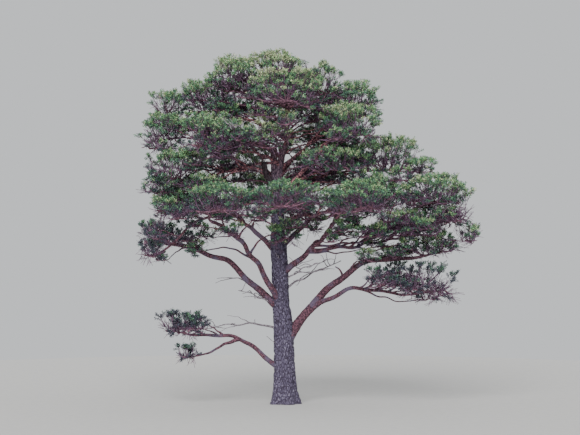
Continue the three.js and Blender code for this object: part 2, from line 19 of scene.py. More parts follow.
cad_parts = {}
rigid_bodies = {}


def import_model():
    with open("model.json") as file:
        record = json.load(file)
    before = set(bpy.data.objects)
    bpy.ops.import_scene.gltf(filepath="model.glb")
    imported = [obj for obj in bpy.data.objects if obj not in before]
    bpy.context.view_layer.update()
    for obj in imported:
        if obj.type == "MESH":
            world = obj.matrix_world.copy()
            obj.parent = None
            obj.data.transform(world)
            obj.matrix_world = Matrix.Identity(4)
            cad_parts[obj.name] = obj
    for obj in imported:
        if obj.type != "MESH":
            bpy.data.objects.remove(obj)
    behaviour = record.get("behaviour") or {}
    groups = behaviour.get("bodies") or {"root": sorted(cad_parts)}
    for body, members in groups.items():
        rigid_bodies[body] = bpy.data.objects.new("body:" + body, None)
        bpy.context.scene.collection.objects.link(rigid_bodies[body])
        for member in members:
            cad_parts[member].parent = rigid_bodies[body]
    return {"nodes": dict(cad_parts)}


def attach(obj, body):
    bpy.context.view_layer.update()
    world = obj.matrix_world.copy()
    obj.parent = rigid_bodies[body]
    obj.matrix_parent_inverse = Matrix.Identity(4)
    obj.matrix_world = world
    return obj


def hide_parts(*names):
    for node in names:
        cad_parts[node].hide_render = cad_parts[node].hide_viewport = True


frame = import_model()

log = logging.getLogger("pine")
Array = np.ndarray
Colour = tuple[float, float, float]
Range = tuple[float, float]
Chance = np.random.Generator
Piece = bpy.types.Object
Material = bpy.types.Material
UP = np.array((0.0, 0.0, 1.0))
GOLDEN_TURN = math.pi * (3 - math.sqrt(5))


class Slot(Enum):
    """The material slots of the record."""

    TRUNK = "trunk_bark"
    BOUGH = "bough_bark"
    DEAD = "dead_wood"
    NEEDLES = "needles"


class Steady:
    """Numbers from 0 to 1 that are the same on each run, drawn by the rule that the solids use."""

    MASK = 0xFFFFFFFF
    STEP = 0x6D2B79F5

    def __init__(self, seed: int) -> None:
        """Starts the row of numbers at a seed."""
        self.state = seed & self.MASK

    def draw(self) -> float:
        """Draws the next number.

        Returns:
            A number from 0 up to 1.
        """
        self.state = (self.state + self.STEP) & self.MASK
        mixed = ((self.state ^ (self.state >> 15)) * (self.state | 1)) & self.MASK
        mixed ^= (mixed + (((mixed ^ (mixed >> 7)) * (mixed | 61)) & self.MASK)) & self.MASK
        return ((mixed ^ (mixed >> 14)) & self.MASK) / (self.MASK + 1)


def level(bearing: float) -> Array:
    """Gives the level direction of a bearing.

    Args:
        bearing: Degrees from the right, turning to the back.

    Returns:
        A unit vector.
    """
    angle = math.radians(bearing)
    return np.array((math.cos(angle), math.sin(angle), 0.0))


def sloping(bearing: float, slope: float) -> Array:
    """Gives the direction of a bearing that rises at a slope.

    Args:
        bearing: Degrees from the right, turning to the back.
        slope: Degrees above the level.

    Returns:
        A unit vector.
    """
    angle = math.radians(slope)
    return level(bearing) * math.cos(angle) + UP * math.sin(angle)


def unit(vectors: Array) -> Array:
    """Scales vectors to a length of one.

    Args:
        vectors: One vector, or one in each row.

    Returns:
        Vectors of the same shape.
    """
    return vectors / np.maximum(np.linalg.norm(vectors, axis=-1, keepdims=True), 1e-9)


def bezier(corners: Sequence[Array], shares: Array) -> Array:
    """Follows a cubic bend.

    Args:
        corners: Its start, two handles and end.
        shares: Shares of its length, from 0 to 1.

    Returns:
        One point a row.
    """
    share = np.atleast_1d(shares)[:, None]
    rest = 1 - share
    first, second, third, last = corners
    return rest**3 * first + 3 * rest**2 * share * second + 3 * rest * share**2 * third + share**3 * last


@dataclass(frozen=True)
class Relief:
    """The relief of the stem's bark: long plates with furrows between them.

    Attributes:
        plate_depth: How far the plates stand out, in metres.
        plates_round: How many there are across half the stem's width.
        plates_up: How many there are for each metre of height.
        furrow: How wide the furrows are, in shares of a plate.
        waver: How far the furrows waver, in shares of a plate.
        waver_waves: How fine that is, across and up.
        rough: How rough the plates are, in metres.
        rough_waves: How fine that is, across and up.
        rough_layers: How the finer layers of it fall off, how much finer each is, and their number.
        inside: The share of the plates' depth that lies inside the stem's radius.
        full_radius: The radius from which the bark has its full depth.
        thinning: How fast it gets shallow on a thinner stem, as a power.
    """

    plate_depth: float = 0.05
    plates_round: float = 2.1
    plates_up: float = 1.15
    furrow: float = 0.22
    waver: float = 0.35
    waver_waves: Range = (2.0, 0.9)
    rough: float = 0.02
    rough_waves: Range = (5.0, 4.0)
    rough_layers: tuple[float, float, int] = (0.7, 2.0, 3)
    inside: float = 0.75
    full_radius: float = 0.4
    thinning: float = 1.5

    def at(self, across: float, back: float, height: float, radius: float) -> float:
        """Gives how far the bark stands out.

        Args:
            across: Where on the ring, as the cosine of its angle.
            back: The sine of that angle.
            height: Height above the ground.
            radius: The stem's radius there.

        Returns:
            Metres, to be added to the radius.
        """
        slow, fast = (
            Vector((across * round_waves, back * round_waves, height * up_waves))
            for round_waves, up_waves in (self.waver_waves, self.rough_waves)
        )
        waver = self.waver * noise.noise(slow)
        round_place = (across * self.plates_round + waver, back * self.plates_round - waver)
        near, second = noise.voronoi(Vector((*round_place, height * self.plates_up)))[0][:2]
        plate = min((second - near) / self.furrow, 1.0)
        rough = noise.fractal(fast, *self.rough_layers)
        share = min(radius / self.full_radius, 1.0) ** self.thinning
        return share * (self.plate_depth * (plate - self.inside) + self.rough * rough)


@dataclass(frozen=True)
class Trunk:
    """The stem: its lean and radius at rising heights, and its root flare, all in metres."""

    stations: tuple[tuple[float, float, float, float], ...] = (
        (0.0, 0.0, 0.0, 0.545),
        (1.6, -0.03, 0.02, 0.515),
        (3.8, -0.085, 0.03, 0.48),
        (5.3, -0.215, 0.0, 0.415),
        (6.9, -0.265, -0.03, 0.412),
        (8.4, -0.35, -0.02, 0.37),
        (10.0, -0.37, 0.04, 0.285),
        (11.2, -0.345, 0.06, 0.215),
        (12.4, -0.16, 0.03, 0.165),
        (13.5, 0.18, -0.04, 0.12),
        (13.95, -0.09, 0.0, 0.105),
        (14.6, 0.19, 0.06, 0.085),
        (15.9, -0.06, 0.02, 0.04),
    )
    flare: float = 0.23
    flare_fade: float = 0.62
    flare_lobes: int = 5
    flare_lobe_depth: float = 0.45
    sides: int = 88
    ring_step: float = 0.045
    relief: Relief = Relief()

    def at(self, heights: Array) -> Array:
        """Reads the stations smoothly.

        Args:
            heights: Heights above the ground.

        Returns:
            A row for each height: right, back, radius.
        """
        table = np.array(self.stations)
        rows, values = table[:, 0], table[:, 1:]
        before = np.maximum(np.arange(len(rows)) - 1, 0)
        after = np.minimum(np.arange(len(rows)) + 1, len(rows) - 1)
        slopes = (values[after] - values[before]) / (rows[after] - rows[before])[:, None]
        heights = np.atleast_1d(heights)
        low = np.clip(np.searchsorted(rows, heights, side="left") - 1, 0, len(rows) - 2)
        span = rows[low + 1] - rows[low]
        share = np.clip((heights - rows[low]) / span, 0, 1)[:, None]
        ease = share * share * (3 - 2 * share)
        pull = share * (1 - share) * span[:, None]
        bend = (1 - share) * slopes[low] - share * slopes[low + 1]
        return values[low] + (values[low + 1] - values[low]) * ease + pull * bend

    def middle(self, height: float) -> Array:
        """Gives the middle of the stem at a height.

        Args:
            height: Height above the ground.

        Returns:
            A point.
        """
        right, back, _ = self.at(height)[0]
        return np.array((right, back, height))

    def build(self) -> "Skin":
        """Makes the stem with the relief of its bark.

        Returns:
            Its skin, from the flat cut at the ground to its tip.
        """
        top = self.stations[-1][0]
        heights = np.linspace(0, top, round(top / self.ring_step) + 1)
        right, back, radius = self.at(heights).T
        angles = np.linspace(0, 2 * math.pi, self.sides, endpoint=False)
        lobes = 1 + self.flare_lobe_depth * np.cos(self.flare_lobes * angles)
        flare = self.flare * np.exp(-heights / self.flare_fade)
        reach = radius[:, None] + flare[:, None] * lobes[None, :]
        ring = np.stack((np.cos(angles), np.sin(angles)), axis=-1)
        centre = np.stack((right, back), axis=-1)[:, None, :]
        relief = np.empty_like(reach)
        for row, height in enumerate(heights):
            for side, angle in enumerate(angles):
                relief[row, side] = self.relief.at(math.cos(angle), math.sin(angle), height, radius[row])
        level_points = centre + ring[None, :, :] * (reach + relief)[:, :, None]
        deep = np.broadcast_to(heights[:, None, None], (*reach.shape, 1))
        skin = Skin()
        skin.add_rings(np.concatenate((level_points, deep), axis=-1))
        return skin


@dataclass(frozen=True)
class Limb:
    """One limb: where it grows from and how it bends.

    Attributes:
        name: The CAD node that it stands for, or a plain name for a limb that only shows here.
        parent: The trunk, or the limb that it grows from.
        at: The height on the trunk, or the share of the parent's length.
        bearing: Degrees from the right, turning to the back.
        reach: How far out its tip lies.
        rise: How far up its tip lies.
        leave: Its slope at the root, in degrees.
        arrive: Its slope at the tip.
        root: Its radius at the root.
        tip: Its radius at the tip.
    """

    name: str
    parent: str
    at: float
    bearing: float
    reach: float
    rise: float
    leave: float
    arrive: float
    root: float
    tip: float


def limbs(*rows: tuple) -> tuple[Limb, ...]:
    """Makes limbs, each from a row of its fields in their order."""
    return tuple(Limb(*row) for row in rows)


LIMBS = limbs(
    ("bough_lowest_left", "trunk", 1.45, 184, 4.35, 2.0, 46, -6, 0.14, 0.07),
    ("bough_left_low", "trunk", 4.65, 186, 5.75, 3.4, 43, 6, 0.19, 0.095),
    ("bough_left_inner", "trunk", 4.95, 222, 4.55, 4.25, 53, 20, 0.165, 0.085),
    ("bough_left_drooping", "trunk", 9.95, 206, 6.3, -2.25, 10, -38, 0.1, 0.05),
    ("bough_left_mid", "trunk", 10.5, 184, 4.05, -0.95, 8, -10, 0.105, 0.055),
    ("snag", "trunk", 10.75, 205, 0.76, 1.35, 38, 84, 0.15, 0.14),
    ("bough_left_tier", "snag", 0.62, 192, 3.25, -0.35, 32, -20, 0.085, 0.048),
    ("bough_left_front", "trunk", 11.9, 222, 2.8, 0.8, 34, 8, 0.09, 0.048),
    ("bough_left_edge", "trunk", 12.35, 181, 4.7, 0.95, 30, 2, 0.095, 0.05),
    ("bough_left_shoulder", "trunk", 13.15, 172, 2.7, 1.35, 38, 20, 0.085, 0.046),
    ("bough_right_low", "trunk", 2.95, 356, 6.3, 4.35, 56, -2, 0.265, 0.095),
    ("bough_right_arching", "bough_right_low", 0.17, 349, 4.9, 1.25, 44, -14, 0.15, 0.065),
    ("bough_right_mid", "trunk", 6.45, 340, 3.15, 3.05, 38, 56, 0.165, 0.09),
    ("bough_right_wide", "bough_right_mid", 0.42, 353, 4.7, 1.7, 4, 44, 0.1, 0.055),
    ("bough_right_far", "bough_right_wide", 0.55, 4, 3.35, 0.85, 2, 24, 0.065, 0.045),
    ("bough_right_upper", "trunk", 10.7, 10, 3.95, 0.85, 30, 6, 0.1, 0.054),
    ("bough_right_rising", "trunk", 10.0, 328, 2.85, 3.0, 50, 48, 0.14, 0.07),
    ("bough_right_shoulder", "trunk", 11.65, 18, 2.35, 2.3, 44, 58, 0.105, 0.055),
    ("bough_front_right", "trunk", 8.8, 314, 4.3, 0.85, 26, 4, 0.105, 0.056),
    ("bough_back_low_left", "trunk", 7.35, 141, 4.3, 2.3, 44, 12, 0.145, 0.07),
    ("bough_back_low", "trunk", 8.25, 94, 4.2, 1.5, 38, 8, 0.125, 0.065),
    ("bough_back_low_right", "trunk", 7.7, 44, 4.9, 1.9, 40, 10, 0.14, 0.068),
    ("bough_back_mid_left", "trunk", 11.05, 126, 3.0, 1.45, 38, 16, 0.1, 0.052),
    ("bough_back_mid_right", "trunk", 11.25, 58, 3.1, 1.45, 38, 16, 0.1, 0.052),
    ("dead_branch_left", "trunk", 3.7, 179, 3.7, 0.06, 14, -14, 0.06, 0.022),
    ("dead_branch_right", "trunk", 5.5, 6, 3.05, 1.65, 42, 26, 0.058, 0.02),
)
SIDE_LIMBS = limbs(
    ("fork_lowest_left", "bough_lowest_left", 0.58, 190, 2.0, -0.8, -14, -12, 0.085, 0.042),
    ("fork_left_low", "bough_left_low", 0.86, 196, 1.0, -0.6, -14, -48, 0.04, 0.02),
    ("fork_inner_up", "bough_left_inner", 0.72, 20, 0.75, 0.95, 76, 50, 0.05, 0.026),
    ("fork_inner_right", "bough_left_inner", 0.5, 350, 1.6, 1.25, 68, 22, 0.055, 0.026),
    ("fork_inner_left", "bough_left_inner", 0.42, 186, 2.5, 0.45, 30, -22, 0.058, 0.026),
    ("fork_right_mid_low", "bough_right_mid", 0.4, 350, 2.9, 0.2, 0, 12, 0.05, 0.024),
    ("fork_right_mid_high", "bough_right_mid", 0.74, 352, 2.3, 0.2, 12, 2, 0.046, 0.024),
    ("fork_right_arching", "bough_right_arching", 0.6, 351, 2.9, -0.6, -14, 10, 0.05, 0.024),
    ("fork_right_low", "bough_right_low", 0.56, 200, 0.42, 0.55, 74, 20, 0.05, 0.026),
    ("fork_left_tier", "bough_left_tier", 0.3, 236, 1.3, 0.45, 40, 10, 0.045, 0.024),
    ("fork_right_far", "bough_right_far", 0.35, 352, 1.6, 0.75, 50, 30, 0.04, 0.022),
    ("fork_right_far_low", "bough_right_far", 0.6, 10, 1.3, -0.35, -6, -20, 0.03, 0.018),
    ("fork_right_wide", "bough_right_wide", 0.55, 338, 1.5, 0.35, 10, 6, 0.036, 0.02),
    ("fork_droop_up", "bough_left_drooping", 0.62, 196, 1.2, 0.35, 20, 8, 0.036, 0.02),
    ("fork_left_mid", "bough_left_mid", 0.5, 196, 1.9, -0.75, -14, -26, 0.042, 0.022),
    ("fork_right_upper", "trunk", 13.05, 350, 1.9, 0.65, 34, 18, 0.05, 0.024),
    ("fork_right_rising", "bough_right_rising", 0.35, 352, 2.6, 0.55, 20, 10, 0.055, 0.026),
    ("fork_right_tier_near", "trunk", 10.4, 338, 3.3, 0.8, 30, 8, 0.06, 0.024),
    ("fork_right_tier_far", "trunk", 10.0, 351, 5.5, 1.15, 30, 8, 0.07, 0.026),
    ("fork_right_tier_end", "bough_right_upper", 0.8, 351, 3.3, 0.1, 10, -4, 0.05, 0.024),
    ("fork_left_tier_near", "trunk", 10.3, 208, 3.5, 0.5, 22, 4, 0.06, 0.024),
    ("fork_left_tier_far", "trunk", 10.2, 191, 5.1, 0.4, 20, -6, 0.065, 0.026),
    ("fork_left_tier_high", "trunk", 12.1, 198, 4.0, -1.25, -4, -26, 0.075, 0.026),
    ("fork_left_upper", "trunk", 12.7, 204, 2.6, 0.75, 34, 14, 0.055, 0.024),
    ("fork_right_web", "bough_right_mid", 0.5, 346, 3.9, 1.05, 4, 40, 0.06, 0.026),
    ("fork_right_web_low", "bough_right_wide", 0.3, 346, 3.6, 0.5, -6, 30, 0.05, 0.024),
    ("fork_right_web_end", "bough_right_far", 0.2, 346, 2.6, 1.2, 46, 36, 0.045, 0.022),
    ("fork_right_far_end", "bough_right_far", 0.7, 358, 2.3, -0.3, 0, -8, 0.04, 0.022),
    ("fork_right_far_high", "bough_right_far", 0.5, 350, 1.7, 1.7, 60, 30, 0.045, 0.022),
    ("fork_right_wide_high", "bough_right_wide", 0.7, 342, 1.3, 0.8, 40, 20, 0.045, 0.022),
    ("fork_right_wide_mid", "bough_right_wide", 0.8, 340, 0.6, 1.5, 70, 50, 0.045, 0.022),
    ("fork_right_wide_near", "bough_right_wide", 0.4, 350, 1.3, 1.2, 50, 30, 0.045, 0.022),
    ("fork_left_edge_high", "bough_left_edge", 0.8, 186, 1.7, 0.55, 30, 6, 0.045, 0.022),
    ("fork_left_edge_low", "bough_left_edge", 0.6, 192, 2.6, -0.35, -10, -12, 0.045, 0.022),
    ("fork_left_tier_end", "bough_left_tier", 0.95, 186, 1.8, -0.2, -4, -8, 0.04, 0.022),
    ("fork_right_wide_end", "bough_right_wide", 0.85, 18, 1.0, 1.1, 50, 30, 0.04, 0.022),
    ("fork_right_shoulder", "bough_right_shoulder", 0.75, 14, 1.7, 1.5, 50, 20, 0.045, 0.022),
    ("stem_stub", "trunk", 10.1, 186, 0.2, 2.75, 84, 89, 0.2, 0.17),
    ("fork_back_left", "bough_back_low_left", 0.45, 176, 2.6, 0.9, 30, 8, 0.055, 0.026),
    ("fork_back_right", "bough_back_low_right", 0.5, 12, 2.6, 0.8, 30, 8, 0.055, 0.026),
)
DEAD_LIMBS = limbs(
    ("dead_left_high", "trunk", 4.7, 190, 2.2, 1.0, 34, 14, 0.052, 0.016),
    ("dead_left_high_fork", "dead_left_high", 0.45, 206, 1.1, 0.1, 6, -14, 0.026, 0.01),
    ("dead_left_side", "bough_left_low", 0.3, 196, 1.7, 0.2, 20, -8, 0.036, 0.012),
    ("dead_left_side_fork", "dead_left_side", 0.5, 176, 0.9, -0.25, -10, -24, 0.02, 0.009),
    ("dead_right_high", "trunk", 6.05, 344, 2.3, 1.1, 34, 14, 0.05, 0.014),
    ("dead_right_high_fork", "dead_right_high", 0.4, 356, 1.6, 0.2, 0, 18, 0.026, 0.01),
    ("dead_right_highest", "trunk", 6.5, 350, 1.7, 0.75, 30, 20, 0.036, 0.012),
    ("dead_left_stub", "trunk", 2.6, 196, 0.9, 0.8, 46, 40, 0.035, 0.012),
    ("dead_fork_left", "dead_branch_left", 0.45, 160, 1.2, 0.35, 30, 4, 0.022, 0.008),
    ("dead_fork_left_low", "dead_branch_left", 0.62, 204, 1.0, -0.3, -10, -30, 0.02, 0.008),
    ("dead_fork_right", "dead_branch_right", 0.5, 30, 1.0, 0.8, 50, 30, 0.024, 0.01),
    ("dead_fork_right_up", "dead_branch_right", 0.3, 352, 1.5, 0.7, 40, 20, 0.026, 0.01),
    ("dead_fork_right_low", "dead_branch_right", 0.62, 340, 1.0, 0.1, 10, -10, 0.022, 0.009),
    ("dead_snag_top", "snag", 0.92, 176, 0.5, 1.0, 70, 80, 0.03, 0.009),
    ("dead_snag_left", "snag", 0.8, 190, 0.85, 0.75, 40, 60, 0.028, 0.008),
    ("dead_snag_right", "snag", 0.96, 20, 0.3, 0.75, 70, 60, 0.024, 0.008),
    ("dead_snag_low", "snag", 0.7, 200, 0.95, 0.1, 10, -20, 0.024, 0.008),
    ("dead_tangle", "bough_left_front", 0.85, 252, 2.7, 1.35, 50, 10, 0.04, 0.018),
    ("dead_front", "trunk", 7.1, 262, 1.3, 0.5, 30, 10, 0.03, 0.01),
    ("dead_back", "trunk", 5.9, 96, 1.9, 0.7, 30, 10, 0.036, 0.012),
    ("dead_high_left", "trunk", 12.9, 200, 1.1, 0.9, 40, 44, 0.028, 0.009),
)


@dataclass(frozen=True)
class Forking:
    """How many side limbs leave a limb by rule, and from which share of its length on.

    Attributes:
        on: The limb.
        count: How many leave it.
        first: The share of its length where they start.
        fill: How thickly the twigs grow at their tips, where 1 is the usual.
        green: How many of those twigs carry needles, where 1 is the usual.
        light: How much painted light those needles get over the usual, or painted shade where it is below 0.
    """

    on: str
    count: int
    first: float
    fill: float = 0.75
    green: float = 1.0
    light: float = 0.0


# The negative lights paint the needles on the low, shaded boughs darker, as painted shade.
FORKINGS = tuple(
    Forking(f"bough_{place}", *sizes)
    for place, *sizes in (
        ("lowest_left", 3, 0.72, 0.9, 0.6, -1.0),
        ("left_low", 5, 0.7, 0.9, 0.25, -0.8),
        ("left_inner", 4, 0.6, 0.8, 0.3, -0.2),
        ("left_drooping", 6, 0.4, 1.0, 0.3, -0.7),
        ("left_mid", 6, 0.35),
        ("left_tier", 6, 0.25),
        ("left_front", 4, 0.45),
        ("left_edge", 6, 0.35),
        ("left_shoulder", 4, 0.4),
        ("right_low", 6, 0.58, 0.6, 0.5),
        ("right_arching", 7, 0.6, 0.8, 0.4, -0.9),
        ("right_mid", 6, 0.45, 0.5, 0.35),
        ("right_wide", 10, 0.2, 0.9, 0.3),
        ("right_far", 8, 0.2, 0.9, 0.3),
        ("right_upper", 6, 0.3),
        ("right_rising", 5, 0.4),
        ("right_shoulder", 5, 0.4),
        ("front_right", 5, 0.4, 0.6),
        *((f"back_{place}", 5, 0.4) for place in ("low_left", "low", "low_right", "mid_left", "mid_right")),
    )
)


@dataclass(frozen=True)
class Whorls:
    """The thin limbs that leave the upper stem on all sides, by rule.

    Attributes:
        low: The height of the lowest.
        high: The height of the highest.
        count: How many there are.
        span: What the reach of the lowest is measured by.
        span_loss: How much less that is for the highest.
        size: Between which half lengths the sprigs at their tips are drawn.
        flat: The half height of those sprigs.
        lift: How far their middles lie above the tips.
        fill: How thickly their twigs grow, where 1 is the usual.
    """

    low: float = 12.4
    high: float = 15.2
    count: int = 16
    span: float = 1.15
    span_loss: float = 0.5
    size: Range = (0.8, 1.15)
    flat: float = 0.45
    lift: float = 0.2
    fill: float = 0.55


@dataclass(frozen=True)
class Tangle:
    """The dead twigs that curl from a dead limb on all sides, by rule.

    Attributes:
        on: The limb.
        count: How many there are.
        reach: How long they are.
    """

    on: str
    count: int
    reach: float


TANGLES = (
    Tangle("dead_tangle", 16, 0.7),
    Tangle("dead_snag_top", 7, 0.5),
    Tangle("dead_snag_left", 6, 0.5),
    Tangle("dead_snag_low", 4, 0.5),
    Tangle("dead_branch_right", 5, 0.8),
    Tangle("dead_right_high", 5, 0.8),
    Tangle("dead_branch_left", 5, 0.7),
    Tangle("dead_left_high", 5, 0.7),
)


@dataclass(frozen=True)
class Habit:
    """Between which sizes a limb that grows by rule is drawn.

    Attributes:
        reach: How far out its tip lies, in shares of the span that it is given.
        rise: How far up its tip lies, in shares of its reach or of that span.
        leave: Its slope at the root, in degrees.
        arrive: Its slope at the tip.
        root: Its radius at the root.
        tip: Its radius at the tip.
        by_span: Whether its rise is measured by the span.
    """

    reach: Range
    rise: Range
    leave: Range
    arrive: Range
    root: Range
    tip: float
    by_span: bool = False


WHORL_HABIT = Habit((1.5, 2.7), (0.1, 0.55), (20, 55), (0, 30), (0.036, 0.056), 0.017)
FORK_HABIT = Habit((0.9, 1.7), (0.15, 0.6), (6, 40), (-8, 34), (0.03, 0.06), 0.022)
TANGLE_HABIT = Habit((0.4, 1.2), (-0.35, 0.8), (-20, 70), (-50, 60), (0.02, 0.02), 0.009, by_span=True)
STEP_ROOM = (0.2, 0.8)
LAST_FORK = 0.96
FORK_ASIDE = (24, 62)
FORK_SPAN = 1.25
FORK_SPAN_LOSS = 0.55
FORK_RADIUS = 0.6
FORK_SPRIG_SIZE = (0.55, 0.9)
FORK_SPRIG_FLAT = (0.28, 0.42)
FORK_SPRIG_LIFT = 0.15
TANGLE_AT = (0.25, 0.98)
HANDLE_SHARE = 0.42
TAPER = 0.75
COLLAR = 0.45
COLLAR_LENGTH = 0.42
SWAY = 0.022
SWAY_WAVES = (7, 11)
SWAY_UP = 0.6
KINK = 0.011
KINK_WAVES = (23, 19)
FIRST_LIMB_SEED = 101
FIRST_FORK_SEED = 301
FIRST_TWIG_SEED = 401


class Path:
    """The middle line of a limb that has been placed on its parent."""

    def __init__(self, limb: Limb, start: Array, seed: int) -> None:
        """Bends the limb from its start.

        Args:
            limb: Its sizes.
            start: The point in the parent's middle that it grows from.
            seed: The seed of its wander.
        """
        self.limb = limb
        self.start = start
        self.tip = start + level(limb.bearing) * limb.reach + UP * limb.rise
        self.chord = float(np.linalg.norm(self.tip - start))
        handle = HANDLE_SHARE * self.chord
        leaving = start + sloping(limb.bearing, limb.leave) * handle
        arriving = self.tip - sloping(limb.bearing, limb.arrive) * handle
        self.corners = (start, leaving, arriving, self.tip)
        self.phase = 2 * math.pi * Steady(seed).draw()
        self.side = level(limb.bearing + 90)

    def points(self, shares: Array) -> Array:
        """Follows the limb.

        Args:
            shares: Shares of its length, from 0 to 1.

        Returns:
            One point a row.
        """
        share = np.atleast_1d(shares).astype(float)
        fade = np.sin(math.pi * share)
        sway, kink = SWAY * self.chord, KINK * self.chord
        slow, fast = (np.outer(waves, share) for waves in (SWAY_WAVES, KINK_WAVES))
        aside = sway * np.sin(slow[0] + self.phase) + kink * np.sin(fast[0] + 3 * self.phase)
        above = SWAY_UP * sway * np.sin(slow[1] + 2 * self.phase) + kink * np.sin(fast[1] + self.phase)
        offset = (fade * aside)[:, None] * self.side + (fade * above)[:, None] * UP
        return bezier(self.corners, share) + offset

    def direction(self, share: float) -> Array:
        """Gives the way that the limb runs.

        Args:
            share: A share of its length.

        Returns:
            A unit vector.
        """
        step = 0.01
        behind, ahead = self.points(np.array((max(share - step, 0), min(share + step, 1))))
        return unit(ahead - behind)

    def radii(self, shares: Array) -> Array:
        """Gives the limb's radius with its collar.

        Args:
            shares: Shares of its length.

        Returns:
            One radius for each share.
        """
        taper = self.limb.root + (self.limb.tip - self.limb.root) * shares**TAPER
        return taper * (1 + COLLAR * np.exp(-shares * self.chord / COLLAR_LENGTH))


class Skin:
    """Corners and faces that are gathered until they become one mesh."""

    def __init__(self) -> None:
        """Starts empty."""
        self.corners: list[Array] = []
        self.quads: list[Array] = []
        self.fans: list[tuple[int, ...]] = []
        self.count = 0

    def add_rings(self, rings: Array) -> None:
        """Adds a closed tube.

        Args:
            rings: Rings of points, as an array of ring, side and coordinate. They turn left along the tube.
        """
        rows, sides, _ = rings.shape
        index = self.count + np.arange(rows * sides).reshape(rows, sides)
        following = np.roll(index, -1, axis=1)
        quads = np.stack((index[:-1], following[:-1], following[1:], index[1:]), axis=-1)
        self.corners.append(rings.reshape(-1, 3))
        self.quads.append(quads.reshape(-1, 4))
        self.fans.append(tuple(int(i) for i in index[0][::-1]))
        self.fans.append(tuple(int(i) for i in index[-1]))
        self.count += rows * sides

    def object(self, name: str, material: Material) -> Piece:
        """Makes the mesh.

        Args:
            name: The name of the object.
            material: Its finish.

        Returns:
            The object, in the scene.
        """
        mesh = bpy.data.meshes.new(name)
        quads = [tuple(quad) for quad in np.concatenate(self.quads).tolist()]
        mesh.from_pydata(np.concatenate(self.corners).tolist(), [], quads + self.fans)
        mesh.materials.append(material)
        mesh.polygons.foreach_set("use_smooth", [True] * len(mesh.polygons))
        mesh.update()
        return placed(name, mesh)


@dataclass(frozen=True)
class Wood:
    """How the limbs are skinned."""

    ring_step: float = 0.09
    sides_thick: int = 16
    sides_thin: int = 9
    thick: float = 0.07
    fewest_rings: int = 8
    relief: float = 0.09
    relief_waves: float = 0.9
    knot: float = 0.06
    knot_waves: float = 2.3

    def rings(self, path: Path) -> Array:
        """Makes the rings of a limb, rough with bark.

        Args:
            path: The limb's middle line.

        Returns:
            An array of ring, side and coordinate.
        """
        rows = max(self.fewest_rings, round(path.chord / self.ring_step))
        shares = np.linspace(0, 1, rows)
        middles = path.points(shares)
        radii = path.radii(shares)
        along = unit(np.gradient(middles, axis=0))
        across = unit(path.side - along * (along @ path.side)[:, None])
        over = np.cross(along, across)
        sides = self.sides_thick if path.limb.root > self.thick else self.sides_thin
        angles = np.linspace(0, 2 * math.pi, sides, endpoint=False)
        rings = np.empty((rows, sides, 3))
        for row in range(rows):
            outward = across[row] * np.cos(angles)[:, None] + over[row] * np.sin(angles)[:, None]
            middle, radius = middles[row], radii[row]
            rough = np.array([self._roughness(middle + radius * way, radius) for way in outward])
            rings[row] = middle + outward * (radius * (1 + rough))[:, None]
        return rings

    def _roughness(self, point: Array, radius: float) -> float:
        """Gives the bark's relief on a limb.

        Args:
            point: A place on its skin.
            radius: Its radius there.

        Returns:
            A share of the radius.
        """
        fine = noise.noise(Vector(point * (self.relief_waves / radius)))
        broad = noise.noise(Vector(point * self.knot_waves))
        return self.relief * fine + self.knot * broad


